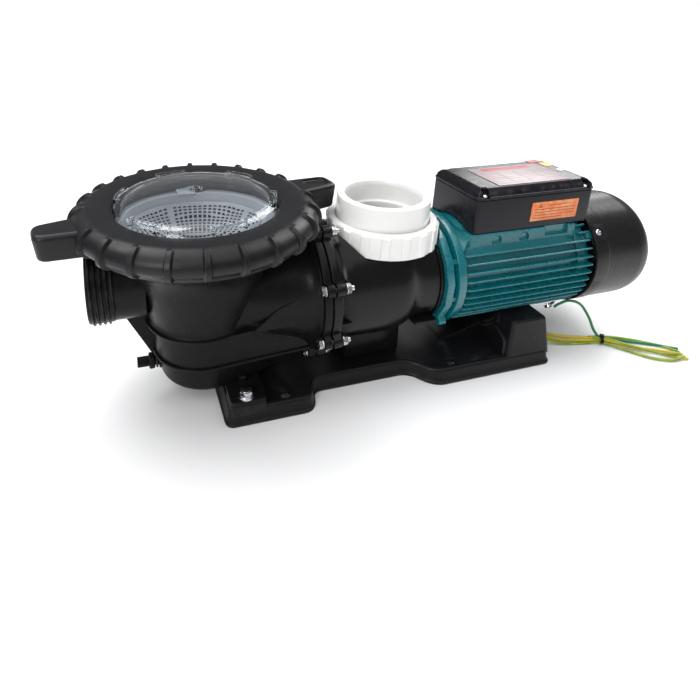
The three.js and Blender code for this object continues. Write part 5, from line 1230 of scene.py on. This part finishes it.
# ---------------------------------------------------------------- floor, lights and camera
floor_me = bpy.data.meshes.new("floor")
floor_me.from_pydata([(-20, -10, 0), (24, -10, 0), (24, 40, 0), (-20, 40, 0)], [], [(0, 1, 2, 3)])
floor = bpy.data.objects.new("floor", floor_me)
bpy.context.scene.collection.objects.link(floor)
floor_mat = finish("floor_paint", (0.86, 0.86, 0.865), 0.65, vary=0.01, rough_vary=0.03, bump=0.02, grain=300, blotch=3)
fn = floor_mat.node_tree.nodes
ray = fn.new("ShaderNodeLightPath")
lift = fn.new("ShaderNodeMath")
lift.operation = "MULTIPLY"
lift.inputs[1].default_value = 0.42
fl = floor_mat.node_tree.links
where = fn.new("ShaderNodeNewGeometry")
reach = fn.new("ShaderNodeVectorMath")
reach.operation = "LENGTH"
fl.new(where.outputs["Position"], reach.inputs[0])
ramp = fn.new("ShaderNodeMapRange")
for key, val in (("From Min", 0.55), ("From Max", 2.2), ("To Min", 0.0), ("To Max", 1.0)):
    ramp.inputs[key].default_value = val
fl.new(reach.outputs["Value"], ramp.inputs["Value"])
fl.new(ramp.outputs["Result"], lift.inputs[0])
lift2 = fn.new("ShaderNodeMath")
lift2.operation = "MULTIPLY"
fl.new(lift.outputs[0], lift2.inputs[0])
fl.new(ray.outputs["Is Camera Ray"], lift2.inputs[1])
fn["Principled BSDF"].inputs["Emission Color"].default_value = (1, 1, 1, 1)
fl.new(lift2.outputs[0], fn["Principled BSDF"].inputs["Emission Strength"])
floor_me.materials.append(floor_mat)

world = bpy.data.worlds.new("studio")
bpy.context.scene.world = world
world.use_nodes = True
WN, WL = world.node_tree.nodes, world.node_tree.links
bg = WN["Background"]
bg.inputs["Color"].default_value = (0.95, 0.97, 1.0, 1)
bg.inputs["Strength"].default_value = 0.24
seen = WN.new("ShaderNodeBackground")
seen.inputs["Color"].default_value = (1, 1, 1, 1)
seen.inputs["Strength"].default_value = 1.0
path_ = WN.new("ShaderNodeLightPath")
both = WN.new("ShaderNodeMixShader")
WL.new(path_.outputs["Is Camera Ray"], both.inputs[0])
WL.new(bg.outputs[0], both.inputs[1])
WL.new(seen.outputs[0], both.inputs[2])
WL.new(both.outputs[0], WN["World Output"].inputs["Surface"])


def soft(name, at, aim, size, power, color=(1, 1, 1)):
    d = bpy.data.lights.new(name, "AREA")
    d.shape = "RECTANGLE"
    d.size, d.size_y = size
    d.energy = power
    d.color = color
    o = bpy.data.objects.new(name, d)
    bpy.context.scene.collection.objects.link(o)
    o.location = at
    o.rotation_mode = "QUATERNION"
    o.rotation_quaternion = (Vector(aim) - Vector(at)).to_track_quat("-Z", "Y")
    return o


soft("overhead_left", (-0.85, 0.45, 1.55), (-0.15, 0.0, 0.1), (0.9, 1.1), 15)
soft("overhead_right", (1.15, 0.35, 1.45), (0.1, 0.0, 0.1), (0.9, 1.1), 15)
sun_d = bpy.data.lights.new("even_sky", "SUN")
sun_d.energy, sun_d.angle = 2.0, math.radians(85)
sun = bpy.data.objects.new("even_sky", sun_d)
bpy.context.scene.collection.objects.link(sun)
sun.rotation_mode = "QUATERNION"
sun.rotation_quaternion = Vector((0.08, 0.12, -1)).to_track_quat("-Z", "Y")
soft("front_left", (-1.35, -1.25, 1.0), (-0.1, 0, 0.12), (0.7, 0.7), 13)
soft("back_right", (1.3, 1.0, 1.1), (0.15, 0, 0.15), (0.7, 0.9), 10)

PHOTO = (-0.30502, -0.52545, 0.45430)
cam_data = bpy.data.cameras.new("camera")
cam = bpy.data.objects.new("camera", cam_data)
bpy.context.scene.collection.objects.link(cam)
yaw, pitch, roll = 0.264724, -0.33061, 0.005395
fwd = Vector((sin(yaw) * cos(pitch), cos(yaw) * cos(pitch), sin(pitch)))
right0 = Vector((cos(yaw), -sin(yaw), 0))
up0 = right0.cross(fwd)
right = right0 * cos(roll) + up0 * sin(roll)
up = -right0 * sin(roll) + up0 * cos(roll)
cam.matrix_world = Matrix(((right.x, up.x, -fwd.x, PHOTO[0]), (right.y, up.y, -fwd.y, PHOTO[1]), (right.z, up.z, -fwd.z, PHOTO[2]), (0, 0, 0, 1)))
cam_data.sensor_width = 36
cam_data.lens = 519.444 / 700 * 36
cam_data.clip_start, cam_data.clip_end = 0.01, 60
# The picture this view answers to is a crop off the lens axis: the shift holds at this station only.
for path, value in (("shift_x", 0.5 - 253.789 / 700), ("shift_y", 171.836 / 700 - 0.5)):
    drv = cam_data.driver_add(path).driver
    drv.type = "SCRIPTED"
    for n, p in (("x", "location.x"), ("y", "location.y"), ("z", "location.z")):
        v = drv.variables.new()
        v.name = n
        v.type = "SINGLE_PROP"
        v.targets[0].id = cam
        v.targets[0].data_path = p
    drv.expression = f"{value:.5f} if abs(x - {PHOTO[0]}) + abs(y - {PHOTO[1]}) + abs(z - {PHOTO[2]}) < 0.001 else 0.0"
bpy.context.scene.camera = cam
bpy.context.scene.view_settings.view_transform = "Standard"
